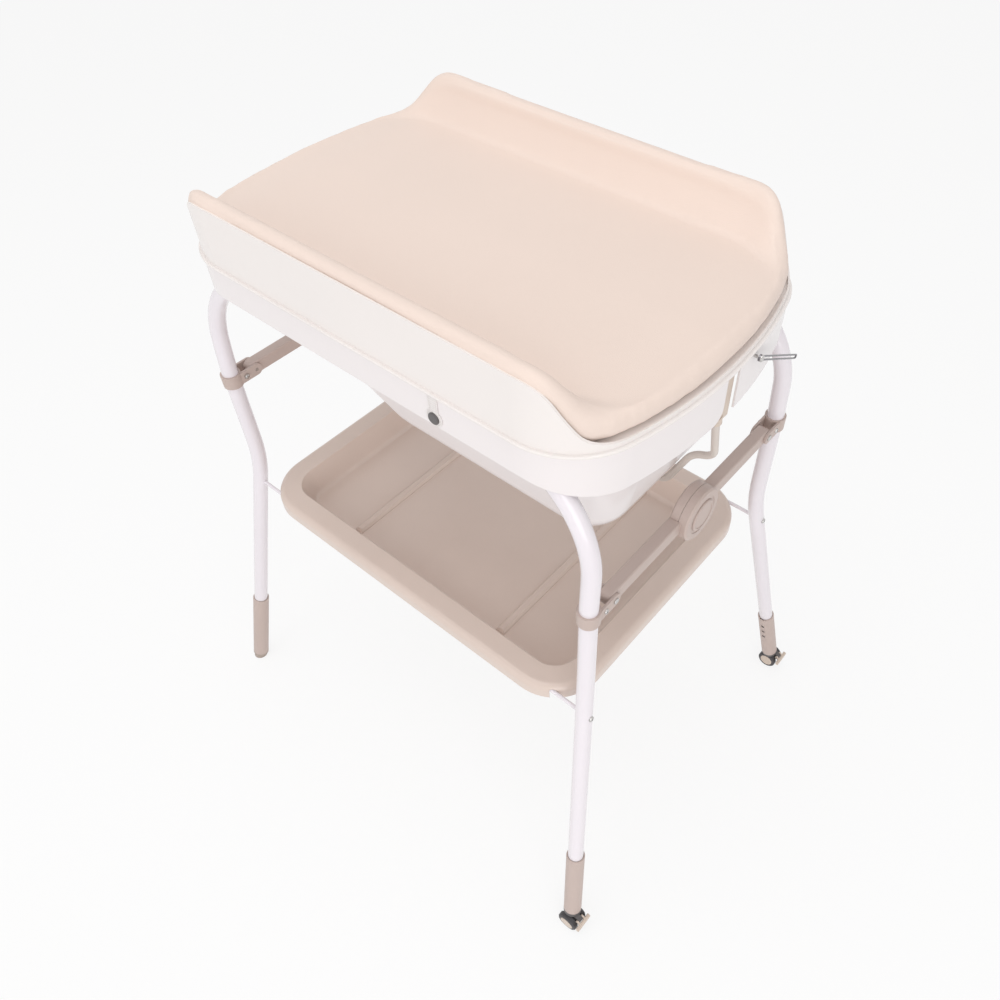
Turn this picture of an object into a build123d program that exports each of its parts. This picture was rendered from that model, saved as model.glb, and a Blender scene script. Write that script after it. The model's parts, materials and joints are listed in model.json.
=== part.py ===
from build123d import *

import os
from math import asin, atan, atan2, ceil, cos, degrees, radians, sin, sqrt, tan

# A folding bath and changing stand for a baby, in millimetres.
# +X is the end with the casters, -Y the front long side, +Z up, the floor is z = 0,
# and the origin is on the floor under the middle of the stand.

# Cuts run past the faces that they go through by this much.
overrun = 5

# Leg frames: two upside-down U tubes, one along each long side
tube_diameter = 25
tube_wall = 1.5
leg_half_span = 350
leg_half_spacing = 222
lean_rise = 15
lean_bend_radius = 60
bar_lean_along = 3
bar_lean_across = 12
bar_height = 938
top_bend_radius = 147
knee_drop = 173
knee_bend_radius = 350
bore_drift = 0.7
foot_splay_along = 75
foot_splay_across = 115
leg_end_length = 112

# Leg sleeves, measured along the leg from the floor
sleeve_outer_diameter = 30
sleeve_clearance = 0.25
sleeve_top_length = 192
caster_sleeve_start = 46
plain_sleeve_start = 14
sleeve_plug_length = 16
height_step = 20
height_steps = 3
height_hole_length = 165
height_hole_diameter = 7
button_groove_width = 9
button_groove_depth = 1.4
snap_button_diameter = 6
snap_button_lift = 1.1
snap_button_length = 6

# Rubber feet of the two plain legs
foot_pad_diameter = 26
foot_pad_collar = 4

# Casters of the two legs at the right end
wheel_diameter = 36
wheel_width = 11
wheel_edge_chamfer = 2
wheel_gap = 0.5
hub_diameter = 25
hub_depth = 2.5
hub_stand = 0.6
axle_diameter = 5
running_clearance = 0.05
caster_web = 9
caster_web_radius = 9
caster_post_clearance = 0.2
pedal_pin_diameter = 3
pedal_reach = 17
pedal_pin_height = 33
pedal_cheek = 3
pedal_cheek_radius = 3.2
pedal_width = 32
pedal_bar_thickness = 6
pedal_bar_height = 9
pedal_gap = 0.3

# Brackets that hold the stays to the legs
bracket_drop = 213
bracket_wall = 3
bracket_band_depth = 22
ear_thickness = 3.5
ear_radius = 10
stay_pin_reach = 38
stay_pin_diameter = 6
pin_cap_diameter = 9
pin_cap_depth = 1.8

# Folding stays with a knuckle in the middle
stay_width = 18
stay_depth = 22
stay_wall = 2.5
stay_rib_pitch = 40
stay_edge_chamfer = 1.5
ear_clearance = 0.4
knuckle_diameter = 80
knuckle_inner_reach = 9
knuckle_outer_reach = 19
knuckle_gap = 0.4
knuckle_sweep_clearance = 0.6
knuckle_edge_chamfer = 2.5
knuckle_pin_diameter = 14
knuckle_pin_bore = 8
pin_head_diameter = 22
pin_head_depth = 2
button_diameter = 48
button_height = 4.4
button_stand = 2
button_travel = 3
button_side_clearance = 0.3
button_ring_width = 4
button_ring_depth = 0.8

# Tray and the two rods that carry it
rod_diameter = 6
rod_drop = 49
rod_end_gap = 2
tray_leg_gap = 16
tray_rod_cover = 16.8
tray_corner_radius = 80
tray_rim_rise = 9
tray_rim_depth = 25
tray_depth = 44
tray_wall = 2.5
tray_rim_width = 38
tray_bowl_draft_width = 17
tray_rim_outer_radius = 11
tray_rim_inner_radius = 8
tray_floor_radius = 9
tray_rib_half_spacing = 160
tray_rib_width = 16
tray_rib_height = 5
tray_hook_half_spacing = 150
tray_hook_width = 4
tray_hook_mouth = 5.4
rod_clearance = 0.3
front_rod_clearance = 0.8

# Rim that the bath and the changing top share in plan
rim_end_overhang = 26
rim_side_overhang = 17
rim_corner_radius = 105
rim_end_radius = 630

# Bath
rim_rise = 27.7
bath_wall = 2.6
bath_rim_inset = 3
mouth_end_inset = 30
mouth_side_inset = 54
mouth_corner_radius = 100
basin_depth = 230.7
basin_floor_left = -10
basin_floor_half_width = 138
basin_edge_radius = 40
skirt_side_depth = 45.7
skirt_end_depth = 62.7
skirt_step_start_inset = 114
skirt_step_end_inset = 31
skirt_step_radius = 60
notch_centre = 8
notch_width = 26
notch_corner_radius = 18
leg_cut_start = 190
leg_cut_end = 345
leg_cut_depth = 38

# Seats and clips between the bath and the top bars of the legs
seat_half_spacing = 130
seat_length = 32
seat_wall = 3
bar_clearance = 0.35
clip_mouth_angle = 100

# Hinges of the changing top
hinge_axis_spacing = 244
hinge_half_spacing = 160
hinge_barrel_diameter = 9
hinge_pin_diameter = 4
hinge_middle_length = 22
hinge_side_length = 10
hinge_gap = 0.4

# Changing top
lip_height = 4
lip_gap = 0.3
lip_edge_radius = 1.5
top_wall_inset = 4.5
top_wall = 2.6
top_side_rise = 88
top_end_rise = 11
top_step_start_inset = 91
top_step_end_inset = 47
top_shoulder_radius = 44
top_foot_radius = 38
top_floor_rise = 7
top_floor_thickness = 2.5
top_rib_height = 6.5
top_rib_width = 2.2
top_rib_pitch = 150

# Changing pad
pad_gap = 0.5
pad_roll_height = 14
pad_roll_width = 24
pad_toe_width = 50
pad_roll_rise = 2
pad_flat_rise = 33
pad_crown = 3
pad_end_rise = 29
pad_end_round = 14
pad_end_drop = 12
pad_bend_shares = (0, 0.12, 0.24, 0.36, 0.5, 0.64, 0.76, 0.88, 1)
pad_tail_shares = (0.3, 0.6, 0.85, 0.97)
pad_middle_share = 0.75

# Closing strap with its press stud
strap_position = 136
strap_width = 14
strap_thickness = 1.4
strap_end_diameter = 24
stud_drop = 32
stud_diameter = 12
cap_diameter = 16
cap_depth = 2.6
strap_gap = 0.2

# Drain, its plug and its hose
drain_x = 230
drain_y = 28
drain_bore = 24
drain_flange_diameter = 42
drain_flange_depth = 2
drain_nut_diameter = 38
drain_nut_depth = 8
drain_elbow_reach = 24
drain_outlet_wall = 2.5
hose_diameter = 10
hose_bore = 7
hose_bend_share = 0.45
plug_depth = 6
plug_head_diameter = 30
plug_head_depth = 3
plug_grip_height = 12
plug_grip_width = 4
plug_clearance = 0.4
hose_clip_wall = 2.5
hose_clip_height = 14
hose_clip_plate_width = 22
clip_plate_drop = 7.7

# Wire that keeps the bath on the rear leg
wire_diameter = 2.4
wire_pivot_spacing = 55
wire_pivot_drop = 6.7
wire_end_spacing = 163
wire_end_drop = 71.7
wire_half_gap = 2.4
wire_screw_diameter = 4
wire_screw_head = 9
wire_skirt_gap = 1.2

# Worked out from the sizes above
bar_half_span = leg_half_span - bar_lean_along
bar_half_spacing = leg_half_spacing - bar_lean_across
foot_half_span = leg_half_span + foot_splay_along
foot_half_spacing = leg_half_spacing + foot_splay_across
bracket_height = bar_height - bracket_drop
lean_height = bracket_height + lean_rise
knee_height = bracket_height - knee_drop
rod_height = knee_height - rod_drop
knuckle_inner_face = leg_half_span - knuckle_inner_reach
knuckle_outer_face = leg_half_span + knuckle_outer_reach
tray_half_length = leg_half_span - tray_leg_gap
tray_half_width = leg_half_spacing + foot_splay_across * rod_drop / knee_height + tray_rod_cover
tray_top_height = rod_height + tray_rim_rise
tray_skirt_height = tray_top_height - tray_rim_depth
tray_floor_height = tray_top_height - tray_depth
rim_half_length = leg_half_span + rim_end_overhang
rim_half_width = leg_half_spacing + rim_side_overhang
bath_rim_height = bar_height + rim_rise
mouth_half_length = rim_half_length - mouth_end_inset
mouth_half_width = rim_half_width - mouth_side_inset
basin_floor_height = bath_rim_height - basin_depth
skirt_side_height = bath_rim_height - skirt_side_depth
skirt_end_height = bath_rim_height - skirt_end_depth
skirt_step_start = rim_half_length - skirt_step_start_inset
skirt_step_end = rim_half_length - skirt_step_end_inset
clip_plate_top = bath_rim_height - clip_plate_drop
wire_pivot_height = bath_rim_height - wire_pivot_drop
wire_end_height = bath_rim_height - wire_end_drop
tube_radius = tube_diameter / 2
leg_run = sqrt((foot_half_span - leg_half_span) ** 2 + (foot_half_spacing - leg_half_spacing) ** 2)
leg_length = sqrt(leg_run**2 + knee_height**2)
leg_direction = Vector(
    (leg_half_span - foot_half_span) / leg_length,
    (foot_half_spacing - leg_half_spacing) / leg_length,
    knee_height / leg_length,
)
floor_point = Vector(foot_half_span, -foot_half_spacing, 0)
pin_spacing = leg_half_spacing - stay_pin_reach
wheel_radius = wheel_diameter / 2
rim_bow_centre = rim_half_length - rim_end_radius
rim_corner_y = rim_half_width - rim_corner_radius
rim_corner_x = rim_bow_centre + sqrt((rim_end_radius - rim_corner_radius) ** 2 - rim_corner_y**2)
rim_bow_angle = degrees(asin(rim_corner_y / (rim_end_radius - rim_corner_radius)))
lip_base_height = bath_rim_height + lip_gap
top_side_height = lip_base_height + top_side_rise
top_end_height = lip_base_height + top_end_rise
top_step_start = rim_half_length - top_step_start_inset
top_step_end = rim_half_length - top_step_end_inset
top_floor_height = lip_base_height + top_floor_rise
pad_flat_height = top_floor_height + pad_flat_rise
pad_end_height = top_floor_height + pad_end_rise
stud_height = lip_base_height - stud_drop


def at_height(height):
    """A level plane at the given height."""
    return Plane(origin=(0, 0, height), z_dir=(0, 0, 1))


def side_plane(spacing=0):
    """A plane across the long sides: its x is the row's X, its y is Z, and its normal is -Y."""
    return Plane(origin=(0, spacing, 0), x_dir=(1, 0, 0), z_dir=(0, -1, 0))


def end_plane(span=0):
    """A plane along the short ends: its x is the row's Y, its y is Z, and its normal is +X."""
    return Plane(origin=(span, 0, 0), x_dir=(0, 1, 0), z_dir=(1, 0, 0))


def disc_along_x(start, end, radius, spacing, height):
    """A round bar along X from start to end."""
    return extrude(end_plane(start) * Pos(spacing, height) * Circle(radius), amount=end - start)


def disc_along_y(start, end, radius, span, height):
    """A round bar along Y from start to end."""
    return extrude(side_plane(end) * Pos(span, height) * Circle(radius), amount=end - start)


def upright(bottom, top, sketch):
    """A sketch drawn on the floor plane, raised from bottom to top."""
    return extrude(at_height(bottom) * sketch, amount=top - bottom)


def block(low, high):
    """A box between two corners."""
    size = [b - a for a, b in zip(low, high)]
    middle = [(a + b) / 2 for a, b in zip(low, high)]
    return Pos(*middle) * Box(*size)


def leg_plane(length):
    """A plane square to the front right leg, at a length along it from the floor, its x along the row's X."""
    return Plane(origin=floor_point + leg_direction * length, x_dir=(1, 0, 0), z_dir=leg_direction)


def rim_outline(inset):
    """The shared rim in plan, drawn in by an inset: straight sides, round corners and bowed ends."""
    corner = rim_corner_radius - inset
    bow = rim_end_radius - inset
    side = rim_half_width - inset
    turn = 90 - rim_bow_angle
    edges = [
        CenterArc((rim_bow_centre, 0), bow, -rim_bow_angle, 2 * rim_bow_angle),
        CenterArc((rim_corner_x, rim_corner_y), corner, rim_bow_angle, turn),
        Line((rim_corner_x, side), (-rim_corner_x, side)),
        CenterArc((-rim_corner_x, rim_corner_y), corner, 90, turn),
        CenterArc((-rim_bow_centre, 0), bow, 180 - rim_bow_angle, 2 * rim_bow_angle),
        CenterArc((-rim_corner_x, -rim_corner_y), corner, 180 + rim_bow_angle, turn),
        Line((-rim_corner_x, -side), (rim_corner_x, -side)),
        CenterArc((rim_corner_x, -rim_corner_y), corner, 270, turn),
    ]
    return make_face(Curve() + edges)


def stepped_region(side, end, step_start, step_end, radius, limit):
    """A region between a stepped line, which changes height near both ends, and a level limit."""
    reach = rim_half_length + overrun
    line = FilletPolyline(
        (-reach, end), (-step_end, end), (-step_start, side),
        (step_start, side), (step_end, end), (reach, end),
        radius=radius,
    )
    closing = Polyline((reach, end), (reach, limit), (-reach, limit), (-reach, end))
    face = make_face(Curve() + [line, closing])
    width = rim_half_width + overrun
    return extrude(side_plane(width) * face, amount=2 * width)


def bent_bar(points, radii, radius):
    """A round bar through points: bends turned about their own centres, straight runs drawn out."""
    points = [Vector(*point) for point in points]
    section = Circle(radius)
    start = points[0]
    tube = None
    for index, corner in enumerate(points[1:], 1):
        along = (corner - points[index - 1]).normalized()
        last = index == len(points) - 1
        if last:
            run = extrude(Plane(origin=start, z_dir=along) * section, amount=(corner - start).length)
            return run if tube is None else tube + run
        onward = (points[index + 1] - corner).normalized()
        turn = along.get_angle(onward)
        setback = radii[index - 1] * tan(radians(turn / 2))
        bend_start = corner - along * setback
        run = extrude(Plane(origin=start, z_dir=along) * section, amount=(bend_start - start).length)
        axis = along.cross(onward).normalized()
        centre = bend_start + axis.cross(along) * radii[index - 1]
        bend = revolve(
            Plane(origin=bend_start, z_dir=along) * section, axis=Axis(centre, axis), revolution_arc=turn
        )
        tube = run + bend if tube is None else tube + run + bend
        start = corner + onward * setback


def bore_points(points, radii):
    """The straight runs of a bore that follows a bent tube: each bend is shared out in equal small turns."""
    points = [Vector(*point) for point in points]
    route = [points[0]]
    for before, corner, after, radius in zip(points, points[1:], points[2:], radii):
        along = (corner - before).normalized()
        onward = (after - corner).normalized()
        turn = radians(along.get_angle(onward))
        count = ceil(turn / (4 * atan(sqrt(bore_drift / radius))))
        step = turn / count
        start = corner - along * radius * tan(turn / 2)
        inward = (onward - along * along.dot(onward)).normalized()
        centre = start + inward * radius
        reach = radius * (1 + tan(step / 4) ** 2)
        for index in range(count):
            angle = (index + 1 / 2) * step
            route.append(centre + along * (reach * sin(angle)) - inward * (reach * cos(angle)))
    return route + [points[-1]]


def mitred_bore(points, radius):
    """A round bore along straight runs that meet at mitres."""
    path = Polyline(*points)
    section = Plane(origin=path @ 0, z_dir=path % 0) * Circle(radius)
    return sweep(section, path=path, transition=Transition.RIGHT)


def headed_pin(face, length, diameter, head_diameter, head_depth, spacing, height):
    """A headed pin along X: the head stands out of the face towards +X, the shank goes the other way."""
    head = disc_along_x(face, face + head_depth, head_diameter / 2, spacing, height)
    head = chamfer(head.edges().filter_by(GeomType.CIRCLE).sort_by(Axis.X)[-1], head_depth / 3)
    return head + disc_along_x(face - length, face, diameter / 2, spacing, height)


# Leg frames


def frame_tube():
    """The front U tube: two legs that splay below the knee, and the top bar that joins them."""
    end = floor_point + leg_direction * leg_end_length
    top = top_bar_points()
    points = [(-end.X, end.Y, end.Z)] + top + [(end.X, end.Y, end.Z)]
    bends = [knee_bend_radius, lean_bend_radius, top_bend_radius]
    radii = bends + bends[::-1]
    tube = bent_bar(points, radii, tube_radius)
    tube -= mitred_bore(bore_points(points, radii), tube_radius - tube_wall)
    rod_span, rod_spacing = rod_place()
    tube -= disc_along_x(-rod_span, rod_span, rod_diameter / 2, -rod_spacing, rod_height)
    for side in (-1, 1):
        tube -= side_of(side, snap_button_bore())
    return tube


def top_bar_points():
    """The middle line of the front tube above its knees."""
    return [
        (-leg_half_span, -leg_half_spacing, knee_height),
        (-leg_half_span, -leg_half_spacing, lean_height),
        (-bar_half_span, -bar_half_spacing, bar_height),
        (bar_half_span, -bar_half_spacing, bar_height),
        (leg_half_span, -leg_half_spacing, lean_height),
        (leg_half_span, -leg_half_spacing, knee_height),
    ]


def side_of(side, shape):
    """A shape of the right end, or its mirror image for the left end."""
    return shape if side > 0 else mirror(shape, about=Plane.YZ)


def rod_place():
    """How far a leg stands from the middle, along X and along Y, at the height of the tray rods."""
    share = (knee_height - rod_height) / knee_height
    span = leg_half_span + (foot_half_span - leg_half_span) * share
    spacing = leg_half_spacing + (foot_half_spacing - leg_half_spacing) * share
    return span, spacing


def snap_button_bore():
    """The hole through the inward wall of the front right leg tube that the snap button comes out of."""
    plane = leg_plane(height_hole_length)
    return plane * Pos(0, tube_radius, 0) * Rot(-90, 0, 0) * Cylinder(snap_button_diameter / 2, tube_wall * 4)


def snap_button():
    """The spring button's nose: it stands in the groove inside the sleeve, behind the height hole."""
    plane = leg_plane(height_hole_length)
    top = tube_radius + snap_button_lift
    nose = Pos(0, top - snap_button_length / 2, 0) * Rot(-90, 0, 0) * Cylinder(
        snap_button_diameter / 2, snap_button_length
    )
    return plane * nose


def leg_bracket():
    """The bracket of the front right leg: a band round the tube, and two ears for the stay."""
    band_radius = tube_radius + bracket_wall
    low = bracket_height - bracket_band_depth / 2
    place = Pos(leg_half_span, -leg_half_spacing)
    body = upright(low, low + bracket_band_depth, place * Circle(band_radius))
    ear_inner = stay_width / 2 + ear_clearance
    for side in (-1, 1):
        start = leg_half_span + (ear_inner if side > 0 else -ear_inner - ear_thickness)
        profile = Pos(-pin_spacing, bracket_height) * Circle(ear_radius)
        profile += Pos(
            -(pin_spacing + leg_half_spacing) / 2, bracket_height
        ) * Rectangle(stay_pin_reach, 2 * ear_radius)
        body += extrude(end_plane(start) * profile, amount=ear_thickness)
    body -= upright(low - overrun, low + bracket_band_depth + overrun, place * Circle(tube_radius))
    near = leg_half_span - band_radius - overrun
    far = leg_half_span + band_radius + overrun
    return body - disc_along_x(near, far, stay_pin_diameter / 2, -pin_spacing, bracket_height)


def stay_pin():
    """The pin of the stay in the ears of the front right bracket."""
    outer = leg_half_span + stay_width / 2 + ear_clearance + ear_thickness
    length = stay_width + 2 * (ear_clearance + ear_thickness)
    return headed_pin(
        outer, length, stay_pin_diameter, pin_cap_diameter, pin_cap_depth, -pin_spacing, bracket_height
    )


def tray_rod():
    """The front rod, which ends inside both legs."""
    span, spacing = rod_place()
    end = span - rod_end_gap
    return disc_along_x(-end, end, rod_diameter / 2, -spacing, rod_height)


# Leg sleeves, feet and casters, all drawn for the front right leg


def leg_sleeve(start):
    """A sleeve over the end of the leg, with a row of height holes and the groove behind them."""
    outer = sleeve_outer_diameter / 2
    inner = tube_radius + sleeve_clearance
    length = sleeve_top_length - start
    body = extrude(leg_plane(start) * Circle(outer), amount=length)
    body = chamfer(body.edges().filter_by(GeomType.CIRCLE).sort_by(Axis.Z)[-1], (outer - inner) / 3)
    body -= extrude(leg_plane(start + sleeve_plug_length) * Circle(inner), amount=length)
    groove_start = height_hole_length - height_step * (height_steps - 1) - button_groove_width
    groove = Pos(0, inner / 2 + button_groove_depth / 2) * Rectangle(
        button_groove_width, inner + button_groove_depth
    )
    body -= extrude(leg_plane(groove_start) * groove, amount=sleeve_top_length)
    for step in range(height_steps):
        plane = leg_plane(height_hole_length - step * height_step)
        hole = Pos(0, outer, 0) * Rot(-90, 0, 0) * Cylinder(height_hole_diameter / 2, outer)
        body -= plane * hole
    return body


def plain_sleeve():
    """A sleeve whose end is closed by a rubber foot, with a socket for the foot's stem."""
    body = leg_sleeve(plain_sleeve_start)
    stem = foot_pad_diameter / 3
    return body - extrude(
        leg_plane(plain_sleeve_start - overrun) * Circle(stem), amount=overrun + sleeve_plug_length / 2
    )


def caster_sleeve():
    """A sleeve with a socket for the caster's post."""
    body = leg_sleeve(caster_sleeve_start)
    socket = sleeve_outer_diameter / 4 + caster_post_clearance
    return body - extrude(
        leg_plane(caster_sleeve_start - overrun) * Circle(socket), amount=overrun + sleeve_plug_length / 2
    )


def foot_pad():
    """A rubber foot: a stem in the sleeve, a round collar, and a sole cut level with the floor."""
    stem = foot_pad_diameter / 3
    body = extrude(leg_plane(-overrun) * Circle(foot_pad_diameter / 2), amount=plain_sleeve_start + overrun)
    collar = extrude(
        leg_plane(plain_sleeve_start - foot_pad_collar) * Circle(sleeve_outer_diameter / 2),
        amount=foot_pad_collar
    )
    body += collar
    body += extrude(
        leg_plane(plain_sleeve_start) * Circle(stem), amount=sleeve_plug_length / 2 - sleeve_clearance
    )
    reach = foot_pad_diameter + overrun
    below = block(
        (foot_half_span - reach, -foot_half_spacing - reach, -2 * reach),
        (foot_half_span + reach, -foot_half_spacing + reach, 0),
    )
    return body - below


def caster_centre():
    """Where the wheel axle stands, under the end of the front right leg."""
    centre = floor_point + leg_direction * (wheel_radius / leg_direction.Z)
    return centre.X, centre.Y


def caster_body():
    """The caster's housing: a post in the sleeve, a round cap, a web between the wheels and a lug."""
    span, spacing = caster_centre()
    web = Pos(span, wheel_radius) * Circle(caster_web_radius)
    cap_point = floor_point + leg_direction * caster_sleeve_start
    top = cap_point.Z - caster_web_radius / 4
    neck = Polygon(
        (span - caster_web_radius, wheel_radius),
        (span + caster_web_radius, wheel_radius),
        (span + pedal_reach, pedal_pin_height - pedal_cheek_radius),
        (span + pedal_reach, pedal_pin_height + pedal_cheek_radius),
        (cap_point.X + caster_web_radius, top),
        (cap_point.X - caster_web_radius, top),
        align=None,
    )
    lug = Pos(span + pedal_reach, pedal_pin_height) * Circle(pedal_cheek_radius)
    back = spacing + caster_web / 2
    body = extrude(side_plane(back) * (web + neck + lug), amount=caster_web)
    cap_depth_along = caster_web_radius * 3 / 4
    cap = extrude(
        leg_plane(caster_sleeve_start - cap_depth_along) * Circle(sleeve_outer_diameter / 2),
        amount=cap_depth_along
    )
    cap -= block(
        (span - wheel_diameter, spacing - wheel_diameter, 0),
        (span + wheel_diameter, spacing + wheel_diameter, wheel_diameter + wheel_gap * 2),
    )
    post = extrude(
        leg_plane(caster_sleeve_start) * Circle(sleeve_outer_diameter / 4),
        amount=sleeve_plug_length / 2 - sleeve_clearance
    )
    body += cap + post
    body -= extrude(
        leg_plane(caster_sleeve_start + sleeve_plug_length / 2) * Circle(sleeve_outer_diameter),
        amount=overrun
    )
    body -= disc_along_y(back - caster_web - overrun, back + overrun, axle_diameter / 2, span, wheel_radius)
    pin_radius = pedal_pin_diameter / 2
    return body - disc_along_y(
        back - caster_web - overrun, back + overrun, pin_radius, span + pedal_reach, pedal_pin_height
    )


def caster_pins():
    """The wheel axle and the pedal's pin."""
    span, spacing = caster_centre()
    half = caster_web / 2 + wheel_gap + wheel_width - hub_depth - wheel_gap
    axle = disc_along_y(spacing - half, spacing + half, axle_diameter / 2, span, wheel_radius)
    pin_half = caster_web / 2 + pedal_gap + pedal_cheek
    pin_radius = pedal_pin_diameter / 2
    pin = disc_along_y(
        spacing - pin_half, spacing + pin_half, pin_radius, span + pedal_reach, pedal_pin_height
    )
    return [axle, pin]


def caster_tyre(side):
    """One of the twin wheels, with a recess for its hub cap: side -1 is the one towards -Y."""
    span, spacing = caster_centre()
    near = spacing + side * (caster_web / 2 + wheel_gap)
    far = near + side * wheel_width
    body = disc_along_y(min(near, far), max(near, far), wheel_radius, span, wheel_radius)
    body = chamfer(body.edges().filter_by(GeomType.CIRCLE), wheel_edge_chamfer)
    recess = far - side * hub_depth
    past = far + side * overrun
    body -= disc_along_y(min(recess, past), max(recess, past), hub_diameter / 2, span, wheel_radius)
    bore = axle_diameter / 2 + running_clearance
    return body - disc_along_y(min(near, far) - overrun, max(near, far) + overrun, bore, span, wheel_radius)


def caster_hub(side):
    """The pale cap in the outer face of a wheel, slightly domed at its edge."""
    span, spacing = caster_centre()
    far = spacing + side * (caster_web / 2 + wheel_gap + wheel_width)
    inner = far - side * hub_depth
    outer = far + side * hub_stand
    body = disc_along_y(min(inner, outer), max(inner, outer), hub_diameter / 2, span, wheel_radius)
    face = body.faces().sort_by(Axis.Y)[-1 if side > 0 else 0]
    return chamfer(face.edges(), hub_stand)


def brake_pedal():
    """The brake pedal: a bar across the caster, with two cheeks on the lug's pin."""
    span, spacing = caster_centre()
    pin_x = span + pedal_reach
    bar_start = pin_x + pedal_cheek_radius + pedal_gap
    bar_low = pedal_pin_height - pedal_bar_height
    bar = block(
        (bar_start, spacing - pedal_width / 2, bar_low),
        (bar_start + pedal_bar_thickness, spacing + pedal_width / 2, pedal_pin_height),
    )
    bar = fillet(bar.edges().filter_by(Axis.Y), pedal_bar_thickness / 3)
    for side in (-1, 1):
        near = spacing + side * (caster_web / 2 + pedal_gap)
        far = near + side * pedal_cheek
        profile = Pos(pin_x, pedal_pin_height) * Circle(pedal_cheek_radius)
        arm_length = bar_start + pedal_bar_thickness / 2 - pin_x
        profile += Pos(pin_x + arm_length / 2, pedal_pin_height - pedal_cheek_radius / 2) * Rectangle(
            arm_length, pedal_cheek_radius
        )
        bar += extrude(side_plane(max(near, far)) * profile, amount=pedal_cheek)
    bore = pedal_pin_diameter / 2 + running_clearance
    return bar - disc_along_y(spacing - pedal_width, spacing + pedal_width, bore, pin_x, pedal_pin_height)


# Folding stays, drawn for the right end


def stay_bar(direction):
    """A stay half, a channel open underneath, from leg pin to knuckle: direction -1 is the front half."""
    near = leg_half_span - stay_width / 2
    pin = direction * pin_spacing
    round_end = Pos(pin, bracket_height) * Circle(stay_depth / 2)
    run = Pos(pin / 2, bracket_height) * Rectangle(pin_spacing, stay_depth)
    bar = extrude(end_plane(near) * (round_end + run), amount=stay_width)
    long_edges = bar.edges().filter_by(Axis.Y)
    bar = chamfer(long_edges, stay_edge_chamfer)
    low = bracket_height - stay_depth / 2
    start = knuckle_diameter / 2 + stay_wall
    end = pin_spacing - stay_depth / 2
    count = max(1, round((end - start) / stay_rib_pitch))
    pitch = (end - start) / count
    for cell in range(count):
        first = direction * (start + cell * pitch + stay_wall / 2)
        last = direction * (start + (cell + 1) * pitch - stay_wall / 2)
        bar -= block(
            (near + stay_wall, min(first, last), low - overrun),
            (near + stay_width - stay_wall, max(first, last), low + stay_depth - stay_wall),
        )
    bore = stay_pin_diameter / 2 + running_clearance
    return bar - disc_along_x(near - overrun, near + stay_width + overrun, bore, pin, bracket_height)


def knuckle_middle():
    """Where the two discs of the knuckle meet."""
    return (knuckle_inner_face + knuckle_outer_face) / 2


def rear_stay():
    """The rear half of the right stay, with the knuckle's inner disc and the seat of the pin's head."""
    radius = knuckle_diameter / 2
    middle = knuckle_middle()
    bar = stay_bar(1)
    keep_out = radius + knuckle_sweep_clearance
    bar -= disc_along_x(middle - knuckle_gap / 2, knuckle_outer_face + overrun, keep_out, 0, bracket_height)
    bar -= block((0, -stay_depth, 0), (leg_half_span * 2, 0, bar_height))
    disc = disc_along_x(knuckle_inner_face, middle - knuckle_gap / 2, radius, 0, bracket_height)
    rim = disc.edges().filter_by(GeomType.CIRCLE).sort_by(Axis.X)[0]
    disc = chamfer(rim, knuckle_edge_chamfer)
    body = bar + disc
    body -= disc_along_x(
        knuckle_inner_face - overrun, knuckle_outer_face, knuckle_pin_diameter / 2, 0, bracket_height
    )
    return body - disc_along_x(
        knuckle_inner_face - overrun, knuckle_inner_face + pin_head_depth,
        pin_head_diameter / 2, 0, bracket_height
    )


def button_recess_floor():
    """How far out the floor of the button's recess lies: the pin's far head and the travel fit above it."""
    underside = knuckle_outer_face + button_stand - button_height
    return underside - button_travel - pin_head_depth - 2 * button_side_clearance


def front_stay():
    """The front half of the right stay, with the knuckle's outer disc and the recess for the button."""
    radius = knuckle_diameter / 2
    middle = knuckle_middle()
    bar = stay_bar(-1)
    keep_out = radius + knuckle_sweep_clearance
    bar -= disc_along_x(knuckle_inner_face - overrun, middle + knuckle_gap / 2, keep_out, 0, bracket_height)
    bar -= block((0, 0, 0), (leg_half_span * 2, stay_depth, bar_height))
    disc = disc_along_x(middle + knuckle_gap / 2, knuckle_outer_face, radius, 0, bracket_height)
    rim = disc.edges().filter_by(GeomType.CIRCLE).sort_by(Axis.X)[-1]
    disc = chamfer(rim, knuckle_edge_chamfer)
    body = bar + disc
    recess = button_diameter / 2 + button_side_clearance
    body -= disc_along_x(button_recess_floor(), knuckle_outer_face + overrun, recess, 0, bracket_height)
    ring = disc_along_x(
        knuckle_outer_face - button_ring_depth, knuckle_outer_face + overrun,
        recess + button_ring_width, 0, bracket_height
    )
    body -= ring
    bore = knuckle_pin_diameter / 2 + running_clearance
    return body - disc_along_x(knuckle_inner_face - overrun, knuckle_outer_face, bore, 0, bracket_height)


def knuckle_pin():
    """The hollow pin of the knuckle, headed at both ends."""
    floor = button_recess_floor()
    head = pin_head_diameter / 2
    body = disc_along_x(
        knuckle_inner_face, floor + pin_head_depth, knuckle_pin_diameter / 2, 0, bracket_height
    )
    body += disc_along_x(knuckle_inner_face, knuckle_inner_face + pin_head_depth, head, 0, bracket_height)
    start = floor + button_side_clearance
    body += disc_along_x(start, start + pin_head_depth, head, 0, bracket_height)
    bore_start = knuckle_inner_face + pin_head_depth
    return body - disc_along_x(bore_start, knuckle_outer_face, knuckle_pin_bore / 2, 0, bracket_height)


def lock_button():
    """The round push button of the knuckle, with a shallow dish in its face."""
    top = knuckle_outer_face + button_stand
    body = disc_along_x(top - button_height, top, button_diameter / 2, 0, bracket_height)
    body = chamfer(body.edges().filter_by(GeomType.CIRCLE).sort_by(Axis.X)[-1], button_stand * 2 / 3)
    return body - disc_along_x(
        top - button_ring_depth, top, button_diameter / 2 - button_ring_width, 0, bracket_height
    )


# Tray


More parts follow.
